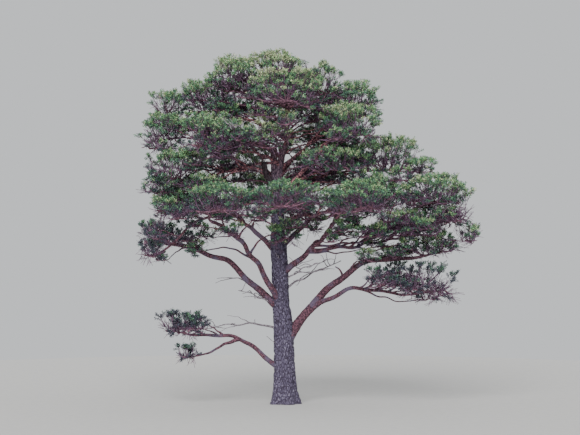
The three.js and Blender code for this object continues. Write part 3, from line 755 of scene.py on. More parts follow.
class Timber:
    """The trunk and all limbs, placed on each other."""

    def __init__(self) -> None:
        """Places the limbs in their order."""
        self.trunk = Trunk()
        self.paths: dict[str, Path] = {}
        self.sprigs: list[Mass] = []
        for limb in (*LIMBS, *SIDE_LIMBS, *DEAD_LIMBS):
            self._place(limb)
        for order, forking in enumerate(FORKINGS):
            self._fork(forking, np.random.default_rng(FIRST_FORK_SEED + order))
        self._whorl(Whorls(), np.random.default_rng(FIRST_FORK_SEED + len(FORKINGS)))
        for order, tangle in enumerate(TANGLES):
            self._tangle(tangle, np.random.default_rng(FIRST_TWIG_SEED + order))

    def _whorl(self, whorls: Whorls, draw: Chance) -> None:
        """Grows thin limbs from the upper stem, each with a sprig at its tip.

        Args:
            whorls: How many and where.
            draw: The source of chance.
        """
        for number in range(whorls.count):
            share = (number + draw.uniform(*STEP_ROOM)) / whorls.count
            at = whorls.low + (whorls.high - whorls.low) * share
            span = whorls.span - whorls.span_loss * share
            name = self._sprout("trunk", at, math.degrees(number * GOLDEN_TURN), span, WHORL_HABIT, draw)
            size = draw.uniform(*whorls.size)
            self.sprigs.append(Mass(name, name, size, size, whorls.flat, whorls.lift, fill=whorls.fill))

    def _tangle(self, tangle: Tangle, draw: Chance) -> None:
        """Grows dead twigs from a dead limb on all sides.

        Args:
            tangle: Where, how many and how long.
            draw: The source of chance.
        """
        root = TANGLE_HABIT.root[0]
        for _ in range(tangle.count):
            at, bearing = draw.uniform(*TANGLE_AT), draw.uniform(0, 360)
            self._sprout(tangle.on, at, bearing, tangle.reach, TANGLE_HABIT, draw, root=root)

    def _sprout(
        self,
        on: str,
        at: float,
        bearing: float,
        span: float,
        habit: Habit,
        draw: Chance,
        slope: float = 0.0,
        root: float | None = None,
    ) -> str:
        """Places a limb that a habit draws.

        Args:
            on: The limb that it grows from, or the trunk.
            at: The height on the trunk, or the share of the limb's length.
            bearing: Degrees from the right, turning to the back.
            span: What its reach is measured by.
            habit: Between which sizes it is drawn.
            draw: The source of chance.
            slope: What its slope at the root is measured from, in degrees.
            root: Its radius at the root, or nothing to draw it too.

        Returns:
            Its name.
        """
        reach = span * draw.uniform(*habit.reach)
        limb = Limb(
            name=f"{on}_{len(self.paths)}",
            parent=on,
            at=at,
            bearing=bearing,
            reach=reach,
            rise=(span if habit.by_span else reach) * draw.uniform(*habit.rise),
            leave=slope + draw.uniform(*habit.leave),
            arrive=draw.uniform(*habit.arrive),
            root=draw.uniform(*habit.root) if root is None else root,
            tip=habit.tip,
        )
        self._place(limb)
        return limb.name

    def _place(self, limb: Limb) -> None:
        """Places a limb on its parent, which stands already.

        Args:
            limb: The limb.
        """
        parent = self.paths.get(limb.parent)
        start = parent.points(limb.at)[0] if parent else self.trunk.middle(limb.at)
        self.paths[limb.name] = Path(limb, start, FIRST_LIMB_SEED + len(self.paths))

    def _fork(self, forking: Forking, draw: Chance) -> None:
        """Grows side limbs to both sides of a limb, each with a sprig at its tip.

        Args:
            forking: Where and how many.
            draw: The source of chance.
        """
        parent = self.paths[forking.on]
        for number in range(forking.count):
            step = number + draw.uniform(*STEP_ROOM)
            at = forking.first + (LAST_FORK - forking.first) * step / forking.count
            bearing = parent.limb.bearing + (1 if number % 2 else -1) * draw.uniform(*FORK_ASIDE)
            slope = math.degrees(math.asin(parent.direction(at)[2]))
            root = float(np.clip(FORK_RADIUS * parent.radii(np.array((at,)))[0], *FORK_HABIT.root))
            span = FORK_SPAN - FORK_SPAN_LOSS * at
            name = self._sprout(forking.on, at, bearing, span, FORK_HABIT, draw, slope, root)
            size, flat = draw.uniform(*FORK_SPRIG_SIZE), draw.uniform(*FORK_SPRIG_FLAT)
            shares = {"fill": forking.fill, "green": forking.green, "light": forking.light}
            self.sprigs.append(Mass(name, name, size, size, flat, FORK_SPRIG_LIFT, **shares))

    def build(self, finishes: "Finishes") -> list[Piece]:
        """Makes the trunk, the living limbs and the dead ones.

        Args:
            finishes: The materials.

        Returns:
            Four pieces.
        """
        wood = Wood()
        stem = self.trunk.build()
        living, dead, snag = Skin(), Skin(), Skin()
        cad_living, cad_dead = [], []
        for name, path in self.paths.items():
            is_dead = name.startswith("dead")
            skin = {"snag": snag, "stem_stub": stem}.get(name, dead if is_dead else living)
            skin.add_rings(wood.rings(path))
            if name in frame["nodes"] and name != "snag":
                (cad_dead if is_dead else cad_living).append(name)
        trunk = stem.object("pine_trunk", finishes.trunk)
        boughs = living.object("pine_boughs", finishes.bough)
        branches = dead.object("pine_dead_wood", finishes.dead)
        stub = snag.object("pine_snag", finishes.snag)
        settle(trunk, ["trunk"])
        settle(boughs, cad_living)
        settle(branches, cad_dead)
        settle(stub, ["snag"])
        return [trunk, boughs, branches, stub]


@dataclass(frozen=True)
class Mass:
    """One plate of foliage, which fills a flat dome.

    Attributes:
        name: The CAD node that it stands for, or a plain name for a sprig that only shows here.
        on: The limb whose tip carries it, or the trunk.
        long: Half its length, along its heading.
        wide: Half its width.
        high: Half its height.
        lift: How far its middle lies above its seat.
        turn: Its heading from the limb's bearing, in degrees.
        seat: Where it sits across the limb's tip, in shares of the tip's radius.
        at: The height on the trunk.
        bearing: Its heading from the trunk.
        out: How far out its middle lies, or nothing for most of its half length.
        fill: How thickly its twigs grow, where 1 is the usual.
        light: How much painted light its needles get over the usual, or painted shade where it is below 0.
        green: How many of its twigs carry needles, where 1 is the usual.
    """

    name: str
    on: str
    long: float
    wide: float
    high: float
    lift: float
    turn: float = 0.0
    seat: float = 0.0
    at: float = 0.0
    bearing: float = 0.0
    out: float | None = None
    fill: float = 1.0
    light: float = 0.0
    green: float = 1.0


def on_bough(place: str, *sizes: float, bough: str = "", **more: float) -> Mass:
    """Gives the mass at the tip of the bough of the same place, or of the bough named."""
    return Mass(f"foliage_{place}", f"bough_{bough or place}", *sizes, **more)


def on_trunk(name: str, *sizes: float, **more: float) -> Mass:
    """Gives a mass on its own stem from the trunk, whose sizes end with height, bearing and distance out."""
    return Mass(name, "trunk", *sizes[:4], at=sizes[4], bearing=sizes[5], out=sizes[6], **more)


def sprigs(*rows: tuple) -> tuple[Mass, ...]:
    """Makes small masses at the tips of side limbs.

    Args:
        rows: A row for each: its place and its limb's, half its length, width and height, and its lift. Its
        fill, green and painted light or shade may follow.

    Returns:
        The masses.
    """
    columns = ("long", "wide", "high", "lift", "fill", "green", "light")
    return tuple(
        Mass(f"sprig_{place}", f"fork_{place}", **dict(zip(columns, sizes))) for place, *sizes in rows
    )


def webs(*rows: tuple) -> tuple[Mass, ...]:
    """Makes masses of mostly bare twigs on stems of their own from the trunk.

    Args:
        rows: A row for each: its place, half its length, width and height, its lift, its height on the trunk,
        its bearing and how far out it lies. Its fill, green and painted light or shade may follow.

    Returns:
        The masses.
    """
    columns = ("long", "wide", "high", "lift", "at", "bearing", "out", "fill", "green", "light")
    return tuple(Mass(f"web_{place}", "trunk", **dict(zip(columns, sizes))) for place, *sizes in rows)


# A mass's light is painted light or shade on its needles: below 0 they are painted darker as if in shade,
# above 0 lighter as if lit.
MASSES = (
    on_bough("lowest_left", 1.15, 1.1, 0.75, 0.42, fill=1.2, light=-1.1, green=0.7),
    on_bough("left_low", 0.85, 1.2, 0.85, 0.3, turn=-6, light=-0.9, green=0.3),
    on_bough("left_drooping", 0.72, 0.9, 0.62, 0.0, light=-0.8, green=0.3),
    on_bough("left_mid", 1.3, 1.6, 1.15, 0.3),
    on_bough("left_tier", 1.7, 1.65, 1.05, 0.5, turn=-6),
    on_bough("left_front", 1.7, 1.55, 1.25, 0.5, turn=-16),
    on_bough("left_edge", 1.32, 1.6, 1.15, 0.2, turn=6, seat=0.5),
    on_bough("left_far", 1.15, 1.3, 0.9, 1.42, turn=-22, seat=-0.5, bough="left_edge"),
    on_bough("left_shoulder", 1.55, 1.65, 1.3, 0.42, turn=8),
    on_bough("front_left", 1.65, 1.7, 0.9, 0.85, turn=62, light=-0.25, bough="left_inner"),
    on_trunk("foliage_front", 1.7, 2.05, 0.9, 0.95, 9.25, 273, 4.0, light=-0.25),
    on_bough("front_right", 1.8, 1.75, 0.92, 0.52, turn=-4, light=-0.15),
    on_trunk("foliage_front_upper", 1.3, 1.35, 1.1, 1.28, 12.35, 258, 1.95, light=0.75),
    on_trunk("foliage_stem_clump", 0.8, 1.08, 0.62, 0.55, 7.95, 282, 1.25, fill=1.3),
    on_bough("right_low", 1.55, 1.35, 0.62, 0.5, turn=6, green=0.6),
    on_bough("right_arching", 1.75, 1.5, 1.05, 0.45, turn=8, fill=1.15, light=-0.95, green=0.5),
    on_bough("right_inner", 1.75, 1.55, 0.95, 0.98, turn=10, bough="right_mid"),
    on_bough("right_wide", 1.8, 1.75, 1.05, 1.1, turn=-4),
    on_bough("right_far", 1.25, 1.6, 1.35, 0.62, turn=4, green=0.45),
    on_bough("right_upper", 1.95, 1.85, 1.2, 0.48),
    on_trunk("foliage_right_middle", 1.8, 1.5, 0.75, 0.78, 11.25, 322, 3.3),
    on_bough("right_rising", 1.65, 1.55, 1.15, 0.72, turn=12, light=0.1),
    on_bough("right_shoulder", 1.7, 1.7, 1.35, 0.78, turn=-6),
    on_bough("back_low_left", 1.9, 1.85, 1.1, 0.4, turn=6),
    on_bough("back_low", 1.9, 1.95, 1.1, 0.5),
    on_bough("back_low_right", 1.95, 1.9, 1.1, 0.45, turn=-6),
    on_bough("back_mid_left", 1.85, 1.85, 1.3, 0.5, turn=4),
    on_bough("back_mid_right", 1.85, 1.9, 1.3, 0.5),
    on_trunk("foliage_top_front", 1.65, 1.95, 1.2, 1.5, 13.9, 274, 2.3, light=0.35),
    on_trunk("foliage_top_left", 1.5, 1.65, 1.25, 1.72, 14.3, 186, 2.45, light=0.2),
    on_trunk("foliage_top_right", 1.4, 1.6, 1.15, 1.08, 14.7, 345, 1.5),
    on_trunk("foliage_top_back", 1.65, 2.0, 1.3, 1.3, 14.1, 84, 2.45),
    on_trunk("foliage_top", 1.35, 1.55, 1.15, 0.95, 15.5, 170, 0.65, light=0.4),
)
SPRIGS = sprigs(
    ("lowest_left", 0.7, 0.8, 0.45, 0.05, 1.1, 0.7, -1.0),
    ("left_low", 0.5, 0.6, 0.35, 0.05, 0.7, 0.4),
    ("inner_up", 0.7, 0.8, 0.3, 0.25, 0.6),
    ("inner_right", 0.9, 0.9, 0.28, 0.25, 0.6),
    ("inner_left", 0.7, 0.8, 0.35, 0.15, 0.7, 0.4),
    ("right_mid_low", 0.8, 0.8, 0.3, 0.2, 0.6, 0.4),
    ("right_mid_high", 0.9, 0.9, 0.35, 0.25, 0.7),
    ("right_arching", 1.0, 0.9, 0.45, 0.2, 0.9, 0.35, -0.9),
    ("left_tier", 1.1, 1.1, 0.6, 0.3, 0.9),
    ("right_far", 0.8, 1.0, 0.6, 0.25, 1.0, 0.4),
    ("right_far_low", 0.8, 0.9, 0.5, 0.1, 1.1, 0.35),
    ("right_wide", 0.9, 1.0, 0.45, 0.2, 0.7, 0.4),
    ("droop_up", 0.9, 1.0, 0.5, 0.2, 0.7),
    ("left_mid", 0.9, 1.1, 0.5, 0.2, 0.8),
    ("right_upper", 0.8, 0.9, 0.45, 0.3, 0.8),
    ("right_rising", 0.9, 0.9, 0.45, 0.3, 0.8),
    ("right_tier_near", 1.1, 1.2, 0.45, 0.15, 0.75),
    ("right_tier_far", 1.15, 1.2, 0.45, 0.15, 0.75),
    ("right_tier_end", 1.0, 1.2, 0.5, 0.1, 0.75),
    ("left_tier_near", 1.1, 1.2, 0.45, 0.15, 0.75),
    ("left_tier_far", 1.1, 1.2, 0.45, 0.15, 0.75),
    ("left_tier_high", 0.9, 1.0, 0.4, 0.2, 0.7, 0.6),
    ("left_upper", 1.0, 1.1, 0.5, 0.2, 0.75),
    ("right_web", 0.9, 1.0, 0.45, 0.2, 0.8, 0.4),
    ("right_web_low", 0.9, 1.0, 0.45, 0.2, 0.8, 0.4),
    ("right_web_end", 0.9, 1.0, 0.45, 0.2, 0.8, 0.4),
    ("right_far_end", 0.75, 1.1, 0.55, 0.15, 1.2, 0.6),
    ("right_far_high", 1.0, 1.1, 0.5, 0.2, 0.8, 0.7),
    ("right_wide_high", 1.0, 1.1, 0.5, 0.2, 0.8, 0.6),
    ("right_wide_mid", 1.0, 1.3, 0.55, 0.2, 1.0, 0.8),
    ("right_wide_near", 1.2, 1.3, 0.45, 0.2, 1.0, 0.35),
    ("left_edge_high", 0.8, 1.1, 0.5, 0.2, 0.8),
    ("left_edge_low", 1.0, 1.2, 0.5, 0.1, 1.1, 0.7),
    ("left_tier_end", 0.75, 1.1, 0.5, 0.2, 1.1),
    ("right_wide_end", 1.0, 1.1, 0.45, 0.2, 0.8, 0.6),
    ("right_shoulder", 1.0, 1.2, 0.5, 0.2, 0.8, 0.8),
)
WEBS = webs(
    ("top_left", 1.2, 1.4, 0.55, 1.6, 14.4, 184, 3.0, 1.0, 0.8, 0.1),
    ("front_upper", 1.3, 1.5, 0.6, 1.0, 12.2, 240, 2.1, 1.0, 0.8, 0.3),
    ("top_left_low", 1.2, 1.3, 0.5, 1.2, 14.0, 164, 2.7, 1.0, 0.8, 0.1),
    ("top_mid", 1.3, 1.4, 0.55, 1.0, 13.7, 146, 1.9, 1.0, 0.8, 0.1),
    ("top_right", 1.3, 1.4, 0.55, 1.0, 13.4, 38, 1.7, 1.0, 0.8, 0.1),
    ("right_mid", 1.3, 1.5, 0.5, 0.6, 10.6, 18, 2.0, 0.8, 0.5),
    ("right_mid_back", 1.3, 1.5, 0.5, 0.9, 10.3, 48, 2.4, 0.8, 0.5),
    ("left_high", 1.7, 1.7, 0.5, 0.75, 11.1, 166, 2.4, 0.8, 0.3),
    ("left_high_back", 1.5, 1.6, 0.5, 0.9, 11.0, 138, 2.4, 0.8, 0.3),
    ("right_high", 1.4, 1.6, 0.5, 0.8, 11.0, 16, 1.9, 1.1, 0.45),
    ("right_high_back", 1.4, 1.6, 0.5, 0.8, 10.9, 46, 2.2, 0.8, 0.35),
    ("stem_right", 1.2, 1.4, 0.6, 0.7, 8.3, 26, 1.4, 0.9, 0.35),
    ("stem_back", 1.2, 1.4, 0.5, 0.9, 8.6, 62, 1.8, 0.7, 0.4),
    ("main_right", 1.3, 1.4, 0.55, 1.0, 9.2, 311, 2.9, 0.9, 0.8),
    ("low_right", 1.2, 1.2, 0.4, 0.9, 8.5, 12, 3.9, 0.8, 0.3),
    ("low_stem", 1.1, 1.2, 0.4, 0.7, 8.9, 330, 1.7, 0.7, 0.35),
    ("low_left", 1.1, 1.2, 0.4, 0.9, 8.7, 172, 2.6, 0.7, 0.35),
    ("left_top_end", 1.1, 1.2, 0.5, 1.4, 13.9, 182, 4.2, 1.0, 0.8),
    ("top_high_left", 1.1, 1.2, 0.45, 1.6, 14.8, 180, 2.5, 1.0, 0.8, 0.1),
    ("top_high_mid", 1.1, 1.2, 0.45, 1.8, 15.0, 250, 0.7, 1.0, 0.8, 0.2),
    ("left_stem", 1.1, 1.2, 0.35, 0.5, 10.7, 158, 2.4, 0.8, 0.5),
    ("right_stem", 1.2, 1.2, 0.35, 0.5, 10.7, 24, 2.8, 0.8, 0.5),
    ("right_shoulder", 1.3, 1.4, 0.6, 1.6, 13.6, 10, 1.9, 1.0, 0.8, 0.2),
)
BACK_SPRIGS = sprigs(
    ("back_left", 1.0, 1.0, 0.45, 0.3, 0.8),
    ("back_right", 1.0, 1.0, 0.45, 0.3, 0.8),
)
OUT_SHARE = 0.82
RIM_ROOM = 0.22
FEWEST_PLACES = 6
PLACE_JITTER = 0.35
FEWEST_HEADS = 2
HEADS = 0.85
HEADS_OUT = 0.9
HEAD_JITTER = 0.3
HEAD_RADIUS = 0.62
HEAD_DEPTH = 0.35
HEAD_LIFT = 0.17
HEAD_RIM = 0.96
LEVEL_OF_HEAD = 0.7
TRUNK_STEM_RADIUS = 0.046
STEM_TIP_RADIUS = 0.026
STEM_POINTS = 14
STEM_BARE_POINTS = 4
BRANCH_BARE_POINTS = 2
TRUNK_LEAVE = 50
TIP_SHARE = 0.95
SHARED_TIP_SHARE = 0.55
UNDER_SHARE = 0.25
FAR_SHARE = 0.5
STEM_HANDLE = 0.4
TURN_COST = 1.7
BACK_ALONG = 0.15
REUSE_COST = 0.16
PAST_SKIN = 1.15
SHARED_DEPTH = 0.12


def spiral(number: float, fewest: int, draw: Chance) -> tuple[Array, Array, int]:
    """Spreads places evenly over a disc by the golden turn.

    Args:
        number: About how many there are.
        fewest: How many there are at least.
        draw: The source of chance.

    Returns:
        A place a row, how far out each lies as a share of the rim, and their number.
    """
    count = max(fewest, round(number))
    order = np.arange(count)
    rim = np.sqrt((order + 0.5) / count)
    angle = draw.uniform(0, 2 * math.pi) + order * GOLDEN_TURN
    return np.stack((rim * np.cos(angle), rim * np.sin(angle)), axis=-1), rim, count


class Space:
    """The room that one mass keeps to, and the stem that grows into it."""

    def __init__(self, mass: Mass, timber: Timber) -> None:
        """Places the mass on its limb or on the trunk.

        Args:
            mass: Its sizes.
            timber: The placed limbs.
        """
        self.mass = mass
        if mass.on == "trunk":
            bearing = mass.bearing
            self.start = timber.trunk.middle(mass.at)
            leaving = sloping(bearing, TRUNK_LEAVE)
            self.radius = TRUNK_STEM_RADIUS
        else:
            path = timber.paths[mass.on]
            bearing = path.limb.bearing + mass.turn
            leaving = path.direction(1.0)
            self.start = path.tip + path.side * mass.seat * path.limb.tip
            self.radius = path.limb.tip * (SHARED_TIP_SHARE if mass.seat else TIP_SHARE)
        self.heading = level(bearing)
        self.across = level(bearing + 90)
        out = OUT_SHARE * mass.long if mass.out is None else mass.out
        self.middle = self.start + self.heading * out + UP * mass.lift
        under = self.middle - UP * UNDER_SHARE * mass.high
        far = under + self.heading * FAR_SHARE * mass.long
        handle = STEM_HANDLE * float(np.linalg.norm(under - self.start))
        self.stem = (self.start, self.start + leaving * handle, under, far)

    def depth(self, points: Array) -> Array:
        """Measures how deep points lie in the dome.

        Args:
            points: One point a row.

        Returns:
            0 at the middle of the dome, 1 on its skin, and more outside it.
        """
        from_middle = points - self.middle
        along = from_middle @ self.heading / self.mass.long
        aside = from_middle @ self.across / self.mass.wide
        return np.sqrt(along**2 + aside**2 + (from_middle[:, 2] / self.mass.high) ** 2)

    def heads(self, draw: Chance) -> Array:
        """Spreads the heads of the dome, each a rounded tussock of shoots.

        Args:
            draw: The source of chance.

        Returns:
            A row for each: how far it lies along and across the dome, and how far above its skin in
            shares of the dome's height.
        """
        plan, _, count = spiral(math.pi * self.mass.long * self.mass.wide * HEADS, FEWEST_HEADS, draw)
        plan = HEADS_OUT * plan + draw.normal(0, HEAD_JITTER / math.sqrt(count), (count, 2))
        return np.column_stack((plan * (self.mass.long, self.mass.wide), draw.normal(0, HEAD_LIFT, count)))

    def places(self, area: float, layer: "Layer", draw: Chance, heads: Array) -> tuple[Array, Array]:
        """Spreads places evenly over a layer of the dome, raised where a head stands.

        Args:
            area: The area that it covers, in square metres.
            layer: Where the layer lies and how dense it is.
            draw: The source of chance.
            heads: Where the heads stand.

        Returns:
            One point a row, and the middle of the nearest head with how high the point stands on it.
        """
        plan, rim, count = spiral(area * layer.density, FEWEST_PLACES, draw)
        plan = plan + draw.normal(0, PLACE_JITTER / math.sqrt(count), (count, 2))
        along = layer.reach * plan[:, 0] * (self.mass.long - RIM_ROOM)
        aside = layer.reach * plan[:, 1] * (self.mass.wide - RIM_ROOM)
        away = np.linalg.norm(np.stack((along, aside), axis=-1)[:, None, :] - heads[None, :, :2], axis=2)
        near = np.argmin(away, axis=1)
        stand = np.clip(1 - (away.min(axis=1) / HEAD_RADIUS) ** 2, -1, 1)
        lump = draw.normal(0, layer.lump, count) + heads[near, 2]
        out = np.minimum(np.linalg.norm(heads[near, :2] / (self.mass.long, self.mass.wide), axis=1), HEAD_RIM)
        fall = LEVEL_OF_HEAD * out + (1 - LEVEL_OF_HEAD) * rim
        base = self.mass.high * (layer.rise * np.sqrt(1 - fall**2) - layer.drop + lump)
        height = (base + layer.head * stand)[:, None] * UP
        points = self.middle + along[:, None] * self.heading + aside[:, None] * self.across + height
        core = self.middle + heads[near, :1] * self.heading + heads[near, 1:2] * self.across
        core[:, 2] = self.middle[2] + base - HEAD_DEPTH
        return points, np.concatenate((core, stand[:, None]), axis=1)


class Twigs:
    """Lines with a radius at each point, gathered until they become one mesh of tubes."""

    def __init__(self) -> None:
        """Starts empty."""
        self.points: list[Array] = []
        self.radii: list[Array] = []
        self.edges: list[Array] = []
        self.count = 0

    def add(self, lines: Array, root: float, tip: float) -> None:
        """Adds tapering lines of equally many points.

        Args:
            lines: An array of line, point and coordinate.
            root: The radius that they start with.
            tip: The radius that they end with.
        """
        number, length, _ = lines.shape
        index = self.count + np.arange(number * length).reshape(number, length)
        self.edges.append(np.stack((index[:, :-1], index[:, 1:]), axis=-1).reshape(-1, 2))
        self.points.append(lines.reshape(-1, 3))
        self.radii.append(np.tile(np.linspace(root, tip, length), number))
        self.count += number * length

    def object(self, name: str) -> Piece:
        """Makes the lines as a mesh of edges, with the attribute that the tubes read.

        Args:
            name: The name of the object.

        Returns:
            The object, in the scene.
        """
        made = wires(name, np.concatenate(self.points), np.concatenate(self.edges))
        store(made.data, "twig_radius", "FLOAT", "value", np.concatenate(self.radii))
        return made


def placed(name: str, data: bpy.types.ID) -> Piece:
    """Puts a mesh, a lamp or a camera in the scene.

    Args:
        name: The name of the object.
        data: What it shows.

    Returns:
        The object.
    """
    made = bpy.data.objects.new(name, data)
    bpy.context.scene.collection.objects.link(made)
    return made


def wires(name: str, points: Array, edges: Sequence = ()) -> Piece:
    """Makes an object of points, and of edges if they are given.

    Args:
        name: The name of the object.
        points: One point a row.
        edges: Two point numbers a row.

    Returns:
        The object, in the scene.
    """
    mesh = bpy.data.meshes.new(name)
    mesh.from_pydata(points.tolist(), np.asarray(edges, dtype=int).tolist(), [])
    return placed(name, mesh)


def store(mesh: bpy.types.Mesh, name: str, kind: str, key: str, values: Array) -> None:
    """Keeps a value on each point of a mesh.

    Args:
        mesh: The mesh.
        name: The attribute's name.
        kind: Its data type.
        key: The name that Blender sets it by, value or vector.
        values: The values, one a point.
    """
    attribute = mesh.attributes.new(name, kind, "POINT")
    attribute.data.foreach_set(key, np.ascontiguousarray(values, dtype=np.float32).ravel())


@dataclass(frozen=True)
class Layer:
    """One layer of clumps or bare twigs in a dome.

    Attributes:
        density: How many twigs a square metre.
        rise: How high the layer lies over the dome's middle, in shares of its height.
        drop: How far its rim lies below the middle.
        reach: How far out its rim lies, in shares of the dome's length and width.
        shoots: How many shoots a twig carries.
        light: How much painted light its needles get.
        lump: How unevenly it lies, in shares of the dome's height.
        head: How high it stands over the heads, in metres.
    """

    density: float
    rise: float
    drop: float
    reach: float
    shoots: int = 0
    light: float = 0.0
    lump: float = 0.07
    head: float = 0.0


@dataclass(frozen=True)
class Growth:
    """How a mass branches on, and how thick each order of twig is."""

    branches: Layer = Layer(2.4, 0.3, 0.42, 0.93)
    # The upper clumps get more painted light than the lower ones, which lie in the shade of the caps.
    clumps: tuple[Layer, ...] = (
        Layer(5.2, 0.68, -0.14, 0.96, 6, 0.5, head=0.2),
        Layer(3.2, 0.35, 0.3, 0.96, 4, 0.1, lump=0.25),
    )
    bare: Layer = Layer(6.5, 0.5, 0.45, 0.98, 4, lump=0.26)
    branch_points: int = 7
    twig_points: int = 4
    branch_radii: Range = (0.046, 0.02)
    twig_radii: Range = (0.019, 0.011)
    shoot_radii: Range = (0.011, 0.006)
    bare_radii: Range = (0.015, 0.009)
    side_radii: Range = (0.012, 0.009)
    branch_sides: int = 4
    twig_sides: int = 3
    sag: float = 0.16
    handle: float = 0.3
    waver: float = 0.07
    point_up: float = 0.3
    side_from: Range = (0.25, 1.0)
    side_reach: Range = (0.18, 0.5)
    side_spread: float = 0.6
    side_flat: float = 0.6
    clump: float = 0.27
    clump_flat: float = 0.45
    shoot_from: Range = (0.55, 1.0)
    shoot_reach: Range = (0.45, 1.15)
    shoot_out: float = 0.75
    shoot_up: float = 0.35
    crown_out: float = 0.4
    tufts_at: tuple[float, ...] = (0.3, 0.55, 0.8, 1.0)
    tuft_size: Range = (0.8, 1.2)
    tuft_along: float = 0.8
    tuft_up: float = 0.5
    tuft_out: float = 0.3
    tuft_lean: float = 0.3
    first_seed: int = 501


@dataclass(frozen=True)
class Shading:
    """How light a tuft's tint is: painted light and shade by where it stands, and tone that varies by chance.

    Attributes:
        by_clump: How much it varies by clump.
        by_tuft: How much it varies by tuft.
        on_head: How much painted light it gets on the middle of a head.
        high: How much painted light it gets at the top of its mass, over the middle.
        inside: How much painted shade darkens it at the foot of its shoot.
    """

    by_clump: float = 0.08
    by_tuft: float = 0.38
    on_head: float = 0.2
    high: float = 0.3
    inside: float = 0.12


